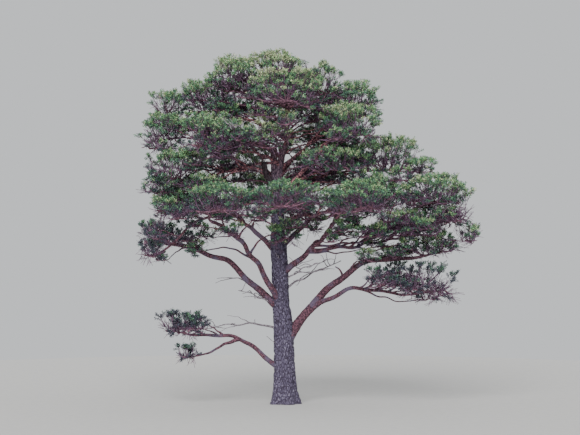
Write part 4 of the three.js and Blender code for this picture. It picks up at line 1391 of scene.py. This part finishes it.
class Crown:
    """All the foliage: the masses, their twigs and their tufts of needles."""

    def __init__(self, timber: Timber, growth: Growth) -> None:
        """Lays out the spaces.

        Args:
            timber: The placed limbs.
            growth: How the twigs branch.
        """
        self.growth = growth
        masses = (*MASSES, *SPRIGS, *WEBS, *BACK_SPRIGS, *timber.sprigs)
        self.spaces = [Space(mass, timber) for mass in masses]
        self.shading = Shading()
        self.twigs = {kind: Twigs() for kind in ("branches", "twigs", "shoots", "bare", "bare_sides")}
        self.tufts: list[tuple[Array, Array, Array, Array]] = []

    def grow(self) -> None:
        """Grows each mass in its order."""
        for order, space in enumerate(self.spaces):
            self._grow_mass(space, np.random.default_rng(self.growth.first_seed + order))

    def _grow_mass(self, space: Space, draw: Chance) -> None:
        """Grows one mass: stem, branches, twigs, shoots and tufts.

        Args:
            space: Its room.
            draw: Its source of chance.
        """
        growth, mass = self.growth, space.mass
        area = math.pi * mass.long * mass.wide * mass.fill
        stem = bezier(space.stem, np.linspace(0, 1, STEM_POINTS))
        self.twigs["branches"].add(stem[None], space.radius, STEM_TIP_RADIUS)
        joints = Joints(stem[STEM_BARE_POINTS:], np.gradient(stem, axis=0)[STEM_BARE_POINTS:])
        heads = space.heads(draw)
        targets, _ = space.places(area, growth.branches, draw, heads)
        branches = self._spread(space, joints, targets, growth.branch_points, draw)
        self.twigs["branches"].add(branches, *growth.branch_radii)
        inner, ways = (part[:, BRANCH_BARE_POINTS:] for part in (branches, np.gradient(branches, axis=1)))
        joints = Joints(inner.reshape(-1, 3), ways.reshape(-1, 3))
        for layer in growth.clumps:
            clumps, stands = space.places(area * mass.green, layer, draw, heads)
            owned = self._owns(space, clumps)
            order = np.argsort(np.linalg.norm(clumps[owned] - space.start, axis=1))
            clumps, stands = clumps[owned][order], stands[owned][order]
            twigs = self._spread(space, joints, clumps, growth.twig_points, draw)
            self.twigs["twigs"].add(twigs, *growth.twig_radii)
            self._add_shoots(space, twigs, stands, layer, draw)
        targets, _ = space.places(area * (2.0 - mass.green), growth.bare, draw, heads)
        bare = self._spread(space, joints, targets, growth.twig_points, draw)
        self.twigs["bare"].add(bare, *growth.bare_radii)
        self._add_side_twigs(bare, draw)

    def _spread(self, space: Space, joints: "Joints", targets: Array, points: int, draw: Chance) -> Array:
        """Leads a twig to each target from the joint that suits it best.

        Args:
            space: The mass's room.
            joints: Where twigs may leave.
            targets: Where they end.
            points: How many points each has.
            draw: The source of chance.

        Returns:
            An array of twig, point and coordinate.
        """
        growth = self.growth
        shares = np.linspace(0, 1, points)
        lines = np.empty((len(targets), points, 3))
        for number, target in enumerate(targets):
            outward = unit(target - space.middle + UP * growth.point_up)
            at = joints.best(target, outward, space.start)
            start = joints.points[at]
            reach = float(np.linalg.norm(target - start))
            waver = draw.normal(0, growth.waver * reach, 3)
            leave = start + joints.ways[at] * growth.handle * reach + waver
            arrive = target - outward * growth.handle * reach - UP * growth.sag * reach
            lines[number] = bezier((start, leave, arrive, target), shares)
        return lines

    def _owns(self, space: Space, points: Array) -> Array:
        """Says which points lie in a mass's own room.

        Args:
            space: The mass's room.
            points: One point a row.

        Returns:
            True for each point that lies no deeper in any other room.
        """
        depth = space.depth(points)
        others = [other.depth(points) for other in self.spaces if other is not space]
        return (depth < PAST_SKIN) & (np.min(others, axis=0) > depth - SHARED_DEPTH)

    def _add_side_twigs(self, twigs: Array, draw: Chance) -> None:
        """Grows thin bare twigs sideways from others.

        Args:
            twigs: An array of twig, point and coordinate.
            draw: The source of chance.
        """
        growth = self.growth
        count = growth.bare.shoots
        roots = self._seats(twigs, count, growth.side_from, draw)
        along = unit(twigs[:, -1] - twigs[:, 1])[:, None, :]
        ways = unit(draw.normal(0, growth.side_spread, roots.shape) * (1.0, 1.0, growth.side_flat) + along)
        tips = roots + ways * draw.uniform(*growth.side_reach, (len(twigs), count, 1))
        self.twigs["bare_sides"].add(np.stack((roots, tips), axis=2).reshape(-1, 2, 3), *growth.side_radii)

    def _seats(self, twigs: Array, count: int, span: Range, draw: Chance) -> Array:
        """Draws the places where finer twigs leave.

        Args:
            twigs: An array of twig, point and coordinate.
            count: How many leave each twig.
            span: Between which shares of its length they leave, from its second point on.
            draw: The source of chance.

        Returns:
            An array of twig, place and coordinate.
        """
        share = draw.uniform(*span, (len(twigs), count, 1))
        return twigs[:, 1][:, None, :] * (1 - share) + twigs[:, -1][:, None, :] * share

    def _add_shoots(self, space: Space, twigs: Array, stands: Array, layer: Layer, draw: Chance) -> None:
        """Grows a clump of shoots round the end of each twig, with tufts along them.

        Args:
            space: The mass's room.
            twigs: An array of twig, point and coordinate.
            stands: A row for each twig: the middle of its head, and how high it stands on it.
            layer: What the twigs belong to.
            draw: The source of chance.
        """
        growth, shading = self.growth, self.shading
        number, count = len(twigs), layer.shoots
        ends = twigs[:, -1]
        outward = unit(ends - stands[:, :3] + growth.crown_out * unit(ends - space.middle))[:, None, :]
        ways = draw.normal(0, 1, (number, count, 3)) + growth.shoot_out * outward + UP * growth.shoot_up
        ways = unit(ways)
        spread = growth.clump * draw.uniform(*growth.shoot_reach, (number, count, 1))
        tips = ends[:, None, :] + ways * spread * np.array((1.0, 1.0, growth.clump_flat))
        roots = self._seats(twigs, count, growth.shoot_from, draw)
        self.twigs["shoots"].add(np.stack((roots, tips), axis=2).reshape(-1, 2, 3), *growth.shoot_radii)
        # Painted light and shade of each tuft: lighter on the middle of a head and high in its mass, darker
        # at the foot of its shoot, plus the painted light of its layer and mass and tone that varies by
        # chance.
        clump_light = draw.normal(0, shading.by_clump, (number, 1)) + shading.on_head * stands[:, 3:]
        for at in growth.tufts_at:
            places = roots * (1 - at) + tips * at
            lean = draw.normal(0, growth.tuft_lean, (number, count, 3))
            headings = unit(growth.tuft_along * ways + growth.tuft_up * UP + growth.tuft_out * outward + lean)
            height = (places[..., 2] - space.middle[2]) / space.mass.high
            light = layer.light + space.mass.light + shading.high * height + clump_light
            light = light + draw.normal(0, shading.by_tuft, (number, count)) - shading.inside * (1 - at)
            sizes = draw.uniform(*growth.tuft_size, number * count)
            self.tufts.append((places.reshape(-1, 3), headings.reshape(-1, 3), sizes, light.reshape(-1)))

    def build(self, finishes: "Finishes") -> list[Piece]:
        """Makes the twigs and the needles.

        Args:
            finishes: The materials.

        Returns:
            One piece for each kind of twig, and one of needles for each tint.
        """
        names = [mass.name for mass in MASSES]
        tubes, tufts = TubeTree(), TuftTree()
        pieces = []
        for kind, twigs in self.twigs.items():
            thick = kind == "branches"
            sides = self.growth.branch_sides if thick else self.growth.twig_sides
            lines = twigs.object(f"pine_{kind}")
            piece = tubes.grow(lines, sides, finishes.branch if thick else finishes.twig)
            settle(piece, names)
            pieces.append(piece)
        places, headings, sizes, lights = (np.concatenate(part) for part in zip(*self.tufts))
        log.info("%d tufts", len(places))
        # Deals the tints by the painted light score: the darkest share gets the shade tint and the lightest
        # share the tip tint.
        ends = np.quantile(lights, np.cumsum([tint.share for tint in finishes.tints[:-1]]))
        group = np.searchsorted(ends, lights)
        for number, tint in enumerate(finishes.tints):
            chosen = group == number
            made = wires(f"pine_needles_{tint.name}", places[chosen])
            store(made.data, "heading", "FLOAT_VECTOR", "vector", headings[chosen])
            store(made.data, "size", "FLOAT", "value", sizes[chosen])
            piece = tufts.grow(made, tint.material, number)
            settle(piece, names)
            pieces.append(piece)
        return pieces


class Joints:
    """Places along twigs where others may leave, each dearer the more it is used."""

    def __init__(self, points: Array, ways: Array) -> None:
        """Starts with all unused.

        Args:
            points: One place a row.
            ways: The way that the twig runs there.
        """
        self.points = points
        self.ways = unit(ways)
        self.uses = np.zeros(len(points))

    def best(self, target: Array, outward: Array, start: Array) -> int:
        """Chooses the joint for a target: near, not far along, and without a sharp turn back.

        Args:
            target: Where the new twig ends.
            outward: The way that it points there.
            start: Where the whole mass starts.

        Returns:
            The number of the joint.
        """
        away = target - self.points
        reach = np.linalg.norm(away, axis=1)
        straight = unit(away) @ outward
        back = np.linalg.norm(self.points - start, axis=1)
        cost = reach * (TURN_COST - straight) + BACK_ALONG * back + REUSE_COST * self.uses
        chosen = int(np.argmin(cost))
        self.uses[chosen] += 1
        return chosen


def joining(operation: str, turned: bool = False) -> Callable[["Wire", object], "Wire"]:
    """Makes an operator that joins a wire and a value by a Math node.

    Args:
        operation: What the node does.
        turned: Whether the value comes first.

    Returns:
        The operator.
    """

    def join(wire: "Wire", value: object) -> "Wire":
        """Adds the node."""
        first, second = (value, wire) if turned else (wire, value)
        return wire.maker.node("ShaderNodeMath", {"operation": operation}, {0: first, 1: second})

    return join


class Wire:
    """A socket that takes part in sums and products, so that a pattern reads as a formula."""

    __add__ = joining("ADD")
    __radd__ = joining("ADD", turned=True)
    __sub__ = joining("SUBTRACT")
    __rsub__ = joining("SUBTRACT", turned=True)
    __mul__ = joining("MULTIPLY")
    __truediv__ = joining("DIVIDE")

    def __init__(self, maker: "Maker", socket: bpy.types.NodeSocket) -> None:
        """Wraps a socket of a tree."""
        self.maker = maker
        self.socket = socket

    def smooth(self, low: float, high: float) -> "Wire":
        """Rises smoothly from 0 to 1.

        Args:
            low: The value that gives 0.
            high: The value that gives 1.

        Returns:
            The result.
        """
        inputs = {0: self, 1: low, 2: high, 3: 0.0, 4: 1.0}
        return self.maker.node("ShaderNodeMapRange", {"interpolation_type": "SMOOTHSTEP"}, inputs)


class Maker:
    """Adds nodes to a tree."""

    def __init__(self, tree: bpy.types.NodeTree) -> None:
        """Works on one tree."""
        self.tree = tree

    def node(
        self, kind: str, settings: dict | None = None, inputs: dict | None = None, output: int = 0
    ) -> Wire:
        """Adds a node.

        Args:
            kind: Its type.
            settings: Its properties, which are set first.
            inputs: A value or a wire for each socket, by number or name.
            output: The socket that is returned.

        Returns:
            The output.
        """
        made = self.tree.nodes.new(kind)
        for name, value in (settings or {}).items():
            setattr(made, name, value)
        for key, value in (inputs or {}).items():
            if isinstance(value, Wire):
                self.tree.links.new(value.socket, made.inputs[key])
            else:
                made.inputs[key].default_value = value
        return Wire(self, made.outputs[output]) if len(made.outputs) else Wire(self, made.inputs[0])

    def mix(self, share: object, first: object, second: object) -> Wire:
        """Mixes two colours.

        Args:
            share: How much of the second.
            first: A colour or a wire.
            second: A colour or a wire.

        Returns:
            The mixed colour.
        """
        colours = [value if isinstance(value, Wire) else (*value, 1.0) for value in (first, second)]
        inputs = {0: share, 6: colours[0], 7: colours[1]}
        return self.node("ShaderNodeMix", {"data_type": "RGBA"}, inputs, output=2)

    def vector(self, x: object, y: object, z: object) -> Wire:
        """Joins three wires or numbers to a vector."""
        return self.node("ShaderNodeCombineXYZ", {}, {0: x, 1: y, 2: z})

    def stretched(self, coords: Wire, scale: Sequence[float]) -> Wire:
        """Stretches coordinates.

        Args:
            coords: The coordinates.
            scale: How much each is multiplied.

        Returns:
            The stretched coordinates.
        """
        return self.node("ShaderNodeVectorMath", {"operation": "MULTIPLY"}, {0: coords, 1: tuple(scale)})

    def bump(self, height: Wire, strength: float, depth: float) -> Wire:
        """Makes a relief of a height, as strong and as deep as given."""
        return self.node("ShaderNodeBump", {}, {"Strength": strength, "Distance": depth, "Height": height})

    def noise(self, coords: Wire, scale: float, detail: float = 2.0) -> Wire:
        """Reads soft noise.

        Args:
            coords: Where.
            scale: How fine it is.
            detail: How many finer layers it has.

        Returns:
            A value round a half.
        """
        return self.node("ShaderNodeTexNoise", {}, {"Vector": coords, "Scale": scale, "Detail": detail})


class GeometryTree:
    """A tree of Geometry Nodes with named inputs, which is used up into a plain mesh."""

    def __init__(self, name: str, inputs: Iterable[tuple[str, str]]) -> None:
        """Starts a tree.

        Args:
            name: Its name.
            inputs: The name and socket type of each input after the geometry.
        """
        self.tree = bpy.data.node_groups.new(name, "GeometryNodeTree")
        self.keys: dict[str, str] = {}
        face = self.tree.interface
        face.new_socket("Geometry", in_out="INPUT", socket_type="NodeSocketGeometry")
        face.new_socket("Geometry", in_out="OUTPUT", socket_type="NodeSocketGeometry")
        for label, kind in inputs:
            self.keys[label] = face.new_socket(label, in_out="INPUT", socket_type=kind).identifier
        self.maker = Maker(self.tree)
        self.entry = self.tree.nodes.new("NodeGroupInput")
        self.exit = self.tree.nodes.new("NodeGroupOutput")

    def given(self, label: str) -> Wire:
        """Gives an input of the tree."""
        return Wire(self.maker, self.entry.outputs[label])

    def attribute(self, name: str, kind: str) -> Wire:
        """Reads an attribute of the points."""
        return self.maker.node("GeometryNodeInputNamedAttribute", {"data_type": kind}, {"Name": name})

    def end(self, geometry: Wire) -> None:
        """Realizes the geometry and gives it the material input.

        Args:
            geometry: What the tree has made.
        """
        real = self.maker.node("GeometryNodeRealizeInstances", {}, {0: geometry})
        inputs = {"Geometry": real, "Material": self.given("Material")}
        done = self.maker.node("GeometryNodeSetMaterial", {}, inputs)
        self.tree.links.new(done.socket, self.exit.inputs[0])

    def run(self, made: Piece, values: dict[str, object]) -> Piece:
        """Turns an object's mesh into what the tree makes of it.

        Args:
            made: The object.
            values: The value of each named input.

        Returns:
            The same object, with a plain mesh.
        """
        modifier = made.modifiers.new(self.tree.name, "NODES")
        modifier.node_group = self.tree
        for label, value in values.items():
            modifier[self.keys[label]] = value
        evaluated = made.evaluated_get(bpy.context.evaluated_depsgraph_get())
        mesh = bpy.data.meshes.new_from_object(evaluated)
        made.modifiers.remove(modifier)
        made.data = mesh
        return made


class TubeTree(GeometryTree):
    """Turns lines into tubes that follow their radius."""

    def __init__(self) -> None:
        """Builds the tree."""
        super().__init__("twig_tubes", (("Sides", "NodeSocketInt"), ("Material", "NodeSocketMaterial")))
        maker = self.maker
        curve = maker.node("GeometryNodeMeshToCurve", {}, {0: self.given("Geometry")})
        inputs = {"Resolution": self.given("Sides"), "Radius": 1.0}
        ring = maker.node("GeometryNodeCurvePrimitiveCircle", {}, inputs)
        inputs = {0: curve, 1: ring, 2: self.attribute("twig_radius", "FLOAT"), 3: True}
        self.end(maker.node("GeometryNodeCurveToMesh", {}, inputs))

    def grow(self, made: Piece, sides: int, material: Material) -> Piece:
        """Makes the tubes of an object of lines.

        Args:
            made: The lines.
            sides: How many sides a tube has.
            material: Its finish.

        Returns:
            The same object, as tubes.
        """
        return self.run(made, {"Sides": sides, "Material": material})


@dataclass(frozen=True)
class Tuft:
    """The sizes of a tuft: a shoot's end with needles all round it."""

    needles: int = 5
    length: float = 0.1
    width: float = 0.039
    shoot: float = 0.1
    lean_low: float = 24.0
    lean_high: float = 66.0


class TuftTree(GeometryTree):
    """Sets a tuft of flat pointed needles on each point, along its heading."""

    def __init__(self, tuft: Tuft = Tuft()) -> None:
        """Builds the tree.

        Args:
            tuft: The sizes of a tuft.
        """
        inputs = [(name, "NodeSocketFloat") for name in ("Length", "Width", "Shoot")]
        inputs += [(name, "NodeSocketInt") for name in ("Needles", "Seed")]
        super().__init__("needle_tufts", (*inputs, ("Material", "NodeSocketMaterial")))
        self.tuft = tuft
        maker, count = self.maker, self.given("Needles")
        outline = maker.node("GeometryNodeMeshCircle", {"fill_type": "NGON"}, {"Vertices": 4, "Radius": 0.5})
        size = maker.vector(self.given("Width"), self.given("Length"), 1.0)
        shift = maker.vector(0.0, self.given("Length") * 0.5, 0.0)
        inputs = {"Geometry": outline, "Scale": size, "Translation": shift}
        needle = maker.node("GeometryNodeTransform", {}, inputs)
        step = maker.vector(0.0, 0.0, self.given("Shoot") / count)
        line = maker.node("GeometryNodeMeshLine", {}, {"Count": count, "Offset": step})
        index = maker.node("GeometryNodeInputIndex")
        low, high = math.radians(tuft.lean_low), math.radians(tuft.lean_high)
        turn = maker.vector(low + index / count * (high - low), 0.0, index * GOLDEN_TURN)
        spin = maker.node("FunctionNodeEulerToRotation", {}, {0: turn})
        rotation = self._turned(spin, maker.vector(0.0, self._chance(math.pi), 0.0))
        inputs = {"Points": line, "Instance": needle, "Rotation": rotation}
        tuft_shape = maker.node("GeometryNodeInstanceOnPoints", {}, inputs)
        whole = maker.node("GeometryNodeRealizeInstances", {}, {0: tuft_shape})
        points = maker.node("GeometryNodeMeshToPoints", {}, {0: self.given("Geometry")})
        heading = self.attribute("heading", "FLOAT_VECTOR")
        aim = maker.node("FunctionNodeAlignRotationToVector", {"axis": "Z"}, {"Vector": heading})
        own = maker.vector(0.0, 0.0, self._chance(2 * math.pi))
        scale = self.attribute("size", "FLOAT")
        inputs = {"Points": points, "Instance": whole, "Rotation": self._turned(aim, own), "Scale": scale}
        self.end(maker.node("GeometryNodeInstanceOnPoints", {}, inputs))

    def _chance(self, most: float) -> Wire:
        """Draws a number for each point from the tree's seed.

        Args:
            most: The most it can be.

        Returns:
            The number, from 0 up.
        """
        inputs = {2: 0.0, 3: most, 8: self.given("Seed")}
        return self.maker.node("FunctionNodeRandomValue", {"data_type": "FLOAT"}, inputs, output=1)

    def _turned(self, rotation: Wire, angles: Wire) -> Wire:
        """Turns a rotation about its own axes.

        Args:
            rotation: The rotation.
            angles: The turn about each axis.

        Returns:
            The new rotation.
        """
        inputs = {0: rotation, 1: self.maker.node("FunctionNodeEulerToRotation", {}, {0: angles})}
        return self.maker.node("FunctionNodeRotateRotation", {"rotation_space": "LOCAL"}, inputs)

    def grow(self, made: Piece, material: Material, seed: int) -> Piece:
        """Makes the tufts on an object of points.

        Args:
            made: The points.
            material: The needles' finish.
            seed: The seed of their turns.

        Returns:
            The same object, as needles.
        """
        tuft = self.tuft
        values = {"Needles": tuft.needles, "Length": tuft.length, "Width": tuft.width, "Shoot": tuft.shoot}
        return self.run(made, {**values, "Seed": seed, "Material": material})


class Finish:
    """A material whose pattern reads Object coordinates."""

    roughness: float
    shine: float

    def build(self, name: str) -> Material:
        """Makes the material.

        Args:
            name: Its name.

        Returns:
            The material.
        """
        made = bpy.data.materials.new(name)
        made.use_nodes = True
        tree = made.node_tree
        tree.nodes.clear()
        maker = Maker(tree)
        coords = maker.node("ShaderNodeTexCoord", output=3)
        shader = maker.node("ShaderNodeBsdfPrincipled", {}, self.dress(maker, coords))
        maker.node("ShaderNodeOutputMaterial", {}, {"Surface": shader})
        return made

    def inputs(self, colour: Wire, bump: Wire | None = None) -> dict:
        """Gathers what the shader takes.

        Args:
            colour: The colour.
            bump: The relief, if there is any.

        Returns:
            Socket names and what feeds them.
        """
        given = {"Base Color": colour, "Roughness": self.roughness, "Specular IOR Level": self.shine}
        return {**given, "Normal": bump} if bump else given

    def dress(self, maker: Maker, coords: Wire) -> dict:
        """Gives the inputs of the shader."""
        raise NotImplementedError


@dataclass(frozen=True)
class TrunkBark(Finish):
    """Grey plates and dark furrows low down, and flaky orange bark high up, lightened there as painted light
    against the crown's shade.
    """

    plate: Colour = (0.125, 0.105, 0.165)
    pale: Colour = (0.3, 0.27, 0.37)
    furrow: Colour = (0.045, 0.032, 0.055)
    # The upper colour is partly the orange bark of the upper stem and partly painted light that lifts the
    # stem out of the crown's shade.
    upper: Colour = (0.33, 0.18, 0.2)
    change: Range = (9.0, 15.0)
    change_waver: float = 3.0
    plate_waves: tuple[float, float, float] = (11.0, 11.0, 4.5)
    crack: Range = (0.0, 0.16)
    flecks: Range = (0.5, 0.7)
    flake_waves: tuple[float, float, float] = (9.0, 9.0, 3.0)
    flakes: Range = (0.35, 0.75)
    bright: float = 1.7
    fleck_scale: float = 10.0
    change_scale: float = 0.8
    fine: float = 4.0
    flake_relief: float = 0.5
    relief: Range = (0.7, 0.03)
    roughness: float = 0.92
    shine: float = 0.2

    def dress(self, maker: Maker, coords: Wire) -> dict:
        """Gives the inputs of the shader.

        Args:
            maker: What adds nodes.
            coords: Object coordinates.

        Returns:
            Socket names and what feeds them.
        """
        height = maker.node("ShaderNodeSeparateXYZ", {}, {0: coords}, output=2)
        cells = {"Vector": maker.stretched(coords, self.plate_waves), "Scale": 1.0}
        edge = maker.node("ShaderNodeTexVoronoi", {"feature": "DISTANCE_TO_EDGE"}, cells)
        plates = edge.smooth(*self.crack)
        flecks = maker.noise(coords, self.fleck_scale, self.fine).smooth(*self.flecks)
        grey = maker.mix(flecks, self.plate, self.pale)
        waver = maker.noise(coords, self.change_scale) * self.change_waver
        change = (height + waver - self.change_waver / 2).smooth(*self.change)
        flake = maker.noise(maker.stretched(coords, self.flake_waves), 1.0, self.fine)
        bright = tuple(self.bright * part for part in self.upper)
        bark = maker.mix(change, grey, maker.mix(flake.smooth(*self.flakes), self.upper, bright))
        colour = maker.mix(plates, self.furrow, bark)
        return self.inputs(colour, maker.bump(plates + flake * self.flake_relief, *self.relief))


@dataclass(frozen=True)
class LimbBark(Finish):
    """Flaky bark of one colour that varies along and round a limb."""

    dark: Colour
    light: Colour
    patch: Colour
    patches: float = 0.35
    scale: float = 5.0
    # A lighter colour for limbs high in the crown: partly the orange-red bark of upper limbs, partly painted
    # light against the crown's shade.
    high: Colour | None = None
    height: Range = (7.5, 11.5)
    flakes: Range = (0.42, 0.62)
    spots: Range = (0.48, 0.64)
    spots_fade: float = 0.7
    finer: float = 3.0
    broader: float = 0.35
    fine: float = 4.0
    relief: Range = (0.5, 0.012)
    roughness: float = 0.88
    shine: float = 0.25

    def dress(self, maker: Maker, coords: Wire) -> dict:
        """Gives the inputs of the shader.

        Args:
            maker: What adds nodes.
            coords: Object coordinates.

        Returns:
            Socket names and what feeds them.
        """
        flake = maker.noise(coords, self.scale * self.finer, self.fine)
        broad = maker.noise(coords, self.scale * self.broader)
        height = maker.node("ShaderNodeSeparateXYZ", {}, {0: coords}, output=2)
        # Higher limbs take the high colour: partly their own orange-red bark, partly painted light.
        up = height.smooth(*self.height)
        light = maker.mix(up, self.light, self.high or self.light)
        base = maker.mix(flake.smooth(*self.flakes), self.dark, light)
        patches = broad.smooth(*self.spots) * (1.0 - up * self.spots_fade) * self.patches
        return self.inputs(maker.mix(patches, base, self.patch), maker.bump(flake, *self.relief))


@dataclass(frozen=True)
class Plain(Finish):
    """One colour with a slight variation, for twigs and needles."""

    colour: Colour
    spread: float = 0.25
    roughness: float = 0.7
    scale: float = 2.5
    shine: float = 0.25
    between: Range = (0.35, 0.65)

    def dress(self, maker: Maker, coords: Wire) -> dict:
        """Gives the inputs of the shader.

        Args:
            maker: What adds nodes.
            coords: Object coordinates.

        Returns:
            Socket names and what feeds them.
        """
        dark = tuple(part * (1 - self.spread) for part in self.colour)
        light = tuple(part * (1 + self.spread) for part in self.colour)
        return self.inputs(maker.mix(maker.noise(coords, self.scale).smooth(*self.between), dark, light))


@dataclass(frozen=True)
class Tint:
    """A tint of the needles and the tufts that wear it: darker and lighter copies of the needle colour, dealt
    out as painted shade and painted light by how high and open the tufts stand.
    """

    name: str
    share: float
    material: Material


class Finishes:
    """All the materials."""

    # Painted shade and painted light of the needles: from the darkest tint for tufts in shade to the lightest
    # for lit tufts. The lightest tint is partly the pale colour of new shoots and partly painted highlight.
    TINTS = (
        ("shade", 0.22, (0.07, 0.08, 0.105)),
        ("deep", 0.25, (0.085, 0.18, 0.12)),
        ("blue", 0.25, (0.13, 0.29, 0.16)),
        ("lit_green", 0.18, (0.235, 0.41, 0.18)),
        ("tip", 0.1, (0.5, 0.56, 0.33)),
    )

    def __init__(self) -> None:
        """Makes them."""
        self.trunk = TrunkBark().build("bark_of_trunk")
        colours = (0.055, 0.028, 0.042), (0.21, 0.092, 0.125), (0.14, 0.115, 0.18)
        # The boughs' high colour is partly orange-red upper bark and partly painted light for limbs in the
        # crown's shade.
        self.bough = LimbBark(*colours, 0.75, high=(0.6, 0.26, 0.29)).build("bark_of_boughs")
        colours = (0.15, 0.125, 0.145), (0.42, 0.37, 0.42), (0.07, 0.05, 0.06)
        self.dead = LimbBark(*colours).build("dead_wood")
        colours = (0.025, 0.018, 0.022), (0.1, 0.07, 0.085), (0.22, 0.19, 0.23)
        self.snag = LimbBark(*colours, 0.5).build("rotten_wood")
        self.branch = Plain((0.205, 0.1, 0.14), 0.5, 0.85, 9.0).build("bark_of_branches")
        self.twig = Plain((0.18, 0.1, 0.165), 0.55, 0.85, 9.0).build("bark_of_twigs")
        self.tints = [
            Tint(name, share, Plain(colour, 0.55, scale=12.0).build(f"needles_{name}"))
            for name, share, colour in self.TINTS
        ]


@dataclass(frozen=True)
class Studio:
    """The floor, the light and the camera."""

    floor_radius: float = 34.0
    floor_sides: int = 96
    floor_colour: Colour = (0.62, 0.61, 0.59)
    sky: Colour = (0.78, 0.8, 0.82)
    sky_strength: float = 0.93
    sun_strength: float = 2.7
    sun_angle: float = 38.0
    sun_turn: tuple[float, float, float] = (52.0, -14.0, 0.0)
    distance: float = 150.0
    frame_width: float = 29.0
    elevation: float = 1.5
    aim: tuple[float, float, float] = (0.25, 0.0, 9.325)

    def build(self) -> None:
        """Makes all of it."""
        self._floor()
        self._light()
        self._camera()

    def _floor(self) -> None:
        """Lays a round floor under the ground level."""
        sizes = {"vertices": self.floor_sides, "radius": self.floor_radius}
        bpy.ops.mesh.primitive_circle_add(**sizes, fill_type="NGON")
        floor = bpy.context.object
        floor.name = "studio_floor"
        paint = Plain(self.floor_colour, spread=0.02, roughness=0.9)
        floor.data.materials.append(paint.build("floor_paint"))

    def _light(self) -> None:
        """Lights the scene from above with a broad soft lamp and a pale surround."""
        world = bpy.data.worlds.new("studio")
        world.use_nodes = True
        ground = world.node_tree.nodes["Background"]
        ground.inputs["Color"].default_value = (*self.sky, 1.0)
        ground.inputs["Strength"].default_value = self.sky_strength
        bpy.context.scene.world = world
        lamp = bpy.data.lights.new("soft_lamp", "SUN")
        lamp.energy = self.sun_strength
        lamp.angle = math.radians(self.sun_angle)
        placed("soft_lamp", lamp).rotation_euler = [math.radians(angle) for angle in self.sun_turn]

    def _camera(self) -> None:
        """Looks along the depth of the tree from far off, nearly level."""
        lens = bpy.data.cameras.new("photo_view")
        lens.lens = lens.sensor_width * self.distance / self.frame_width
        lens.clip_end = 4 * self.distance
        camera = placed("photo_view", lens)
        slope = math.radians(self.elevation)
        back = Vector((0.0, -math.cos(slope), math.sin(slope)))
        camera.location = Vector(self.aim) + back * self.distance
        camera.rotation_mode = "QUATERNION"
        camera.rotation_quaternion = (-back).to_track_quat("-Z", "Y")
        bpy.context.scene.camera = camera


def settle(piece: Piece, nodes: Sequence[str]) -> None:
    """Ties a finished piece to the frame.

    Args:
        piece: The piece.
        nodes: The CAD nodes that it stands for.
    """
    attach(piece, "root")
    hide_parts(*nodes)


def triangles(piece: Piece) -> int:
    """Counts the triangles of a piece.

    Args:
        piece: The piece.

    Returns:
        How many it has once its faces are split.
    """
    return sum(len(face.vertices) - 2 for face in piece.data.polygons)


def main() -> None:
    """Builds the tree and the studio, and logs the triangle count of each piece of the dressed tree."""
    logging.basicConfig(level=logging.INFO, format="%(message)s")
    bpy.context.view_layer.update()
    finishes = Finishes()
    timber = Timber()
    pieces = timber.build(finishes)
    crown = Crown(timber, Growth())
    crown.grow()
    pieces += crown.build(finishes)
    for piece in pieces:
        log.info("%s: %d triangles", piece.name, triangles(piece))
    Studio().build()


if __name__ == "__main__":
    main()
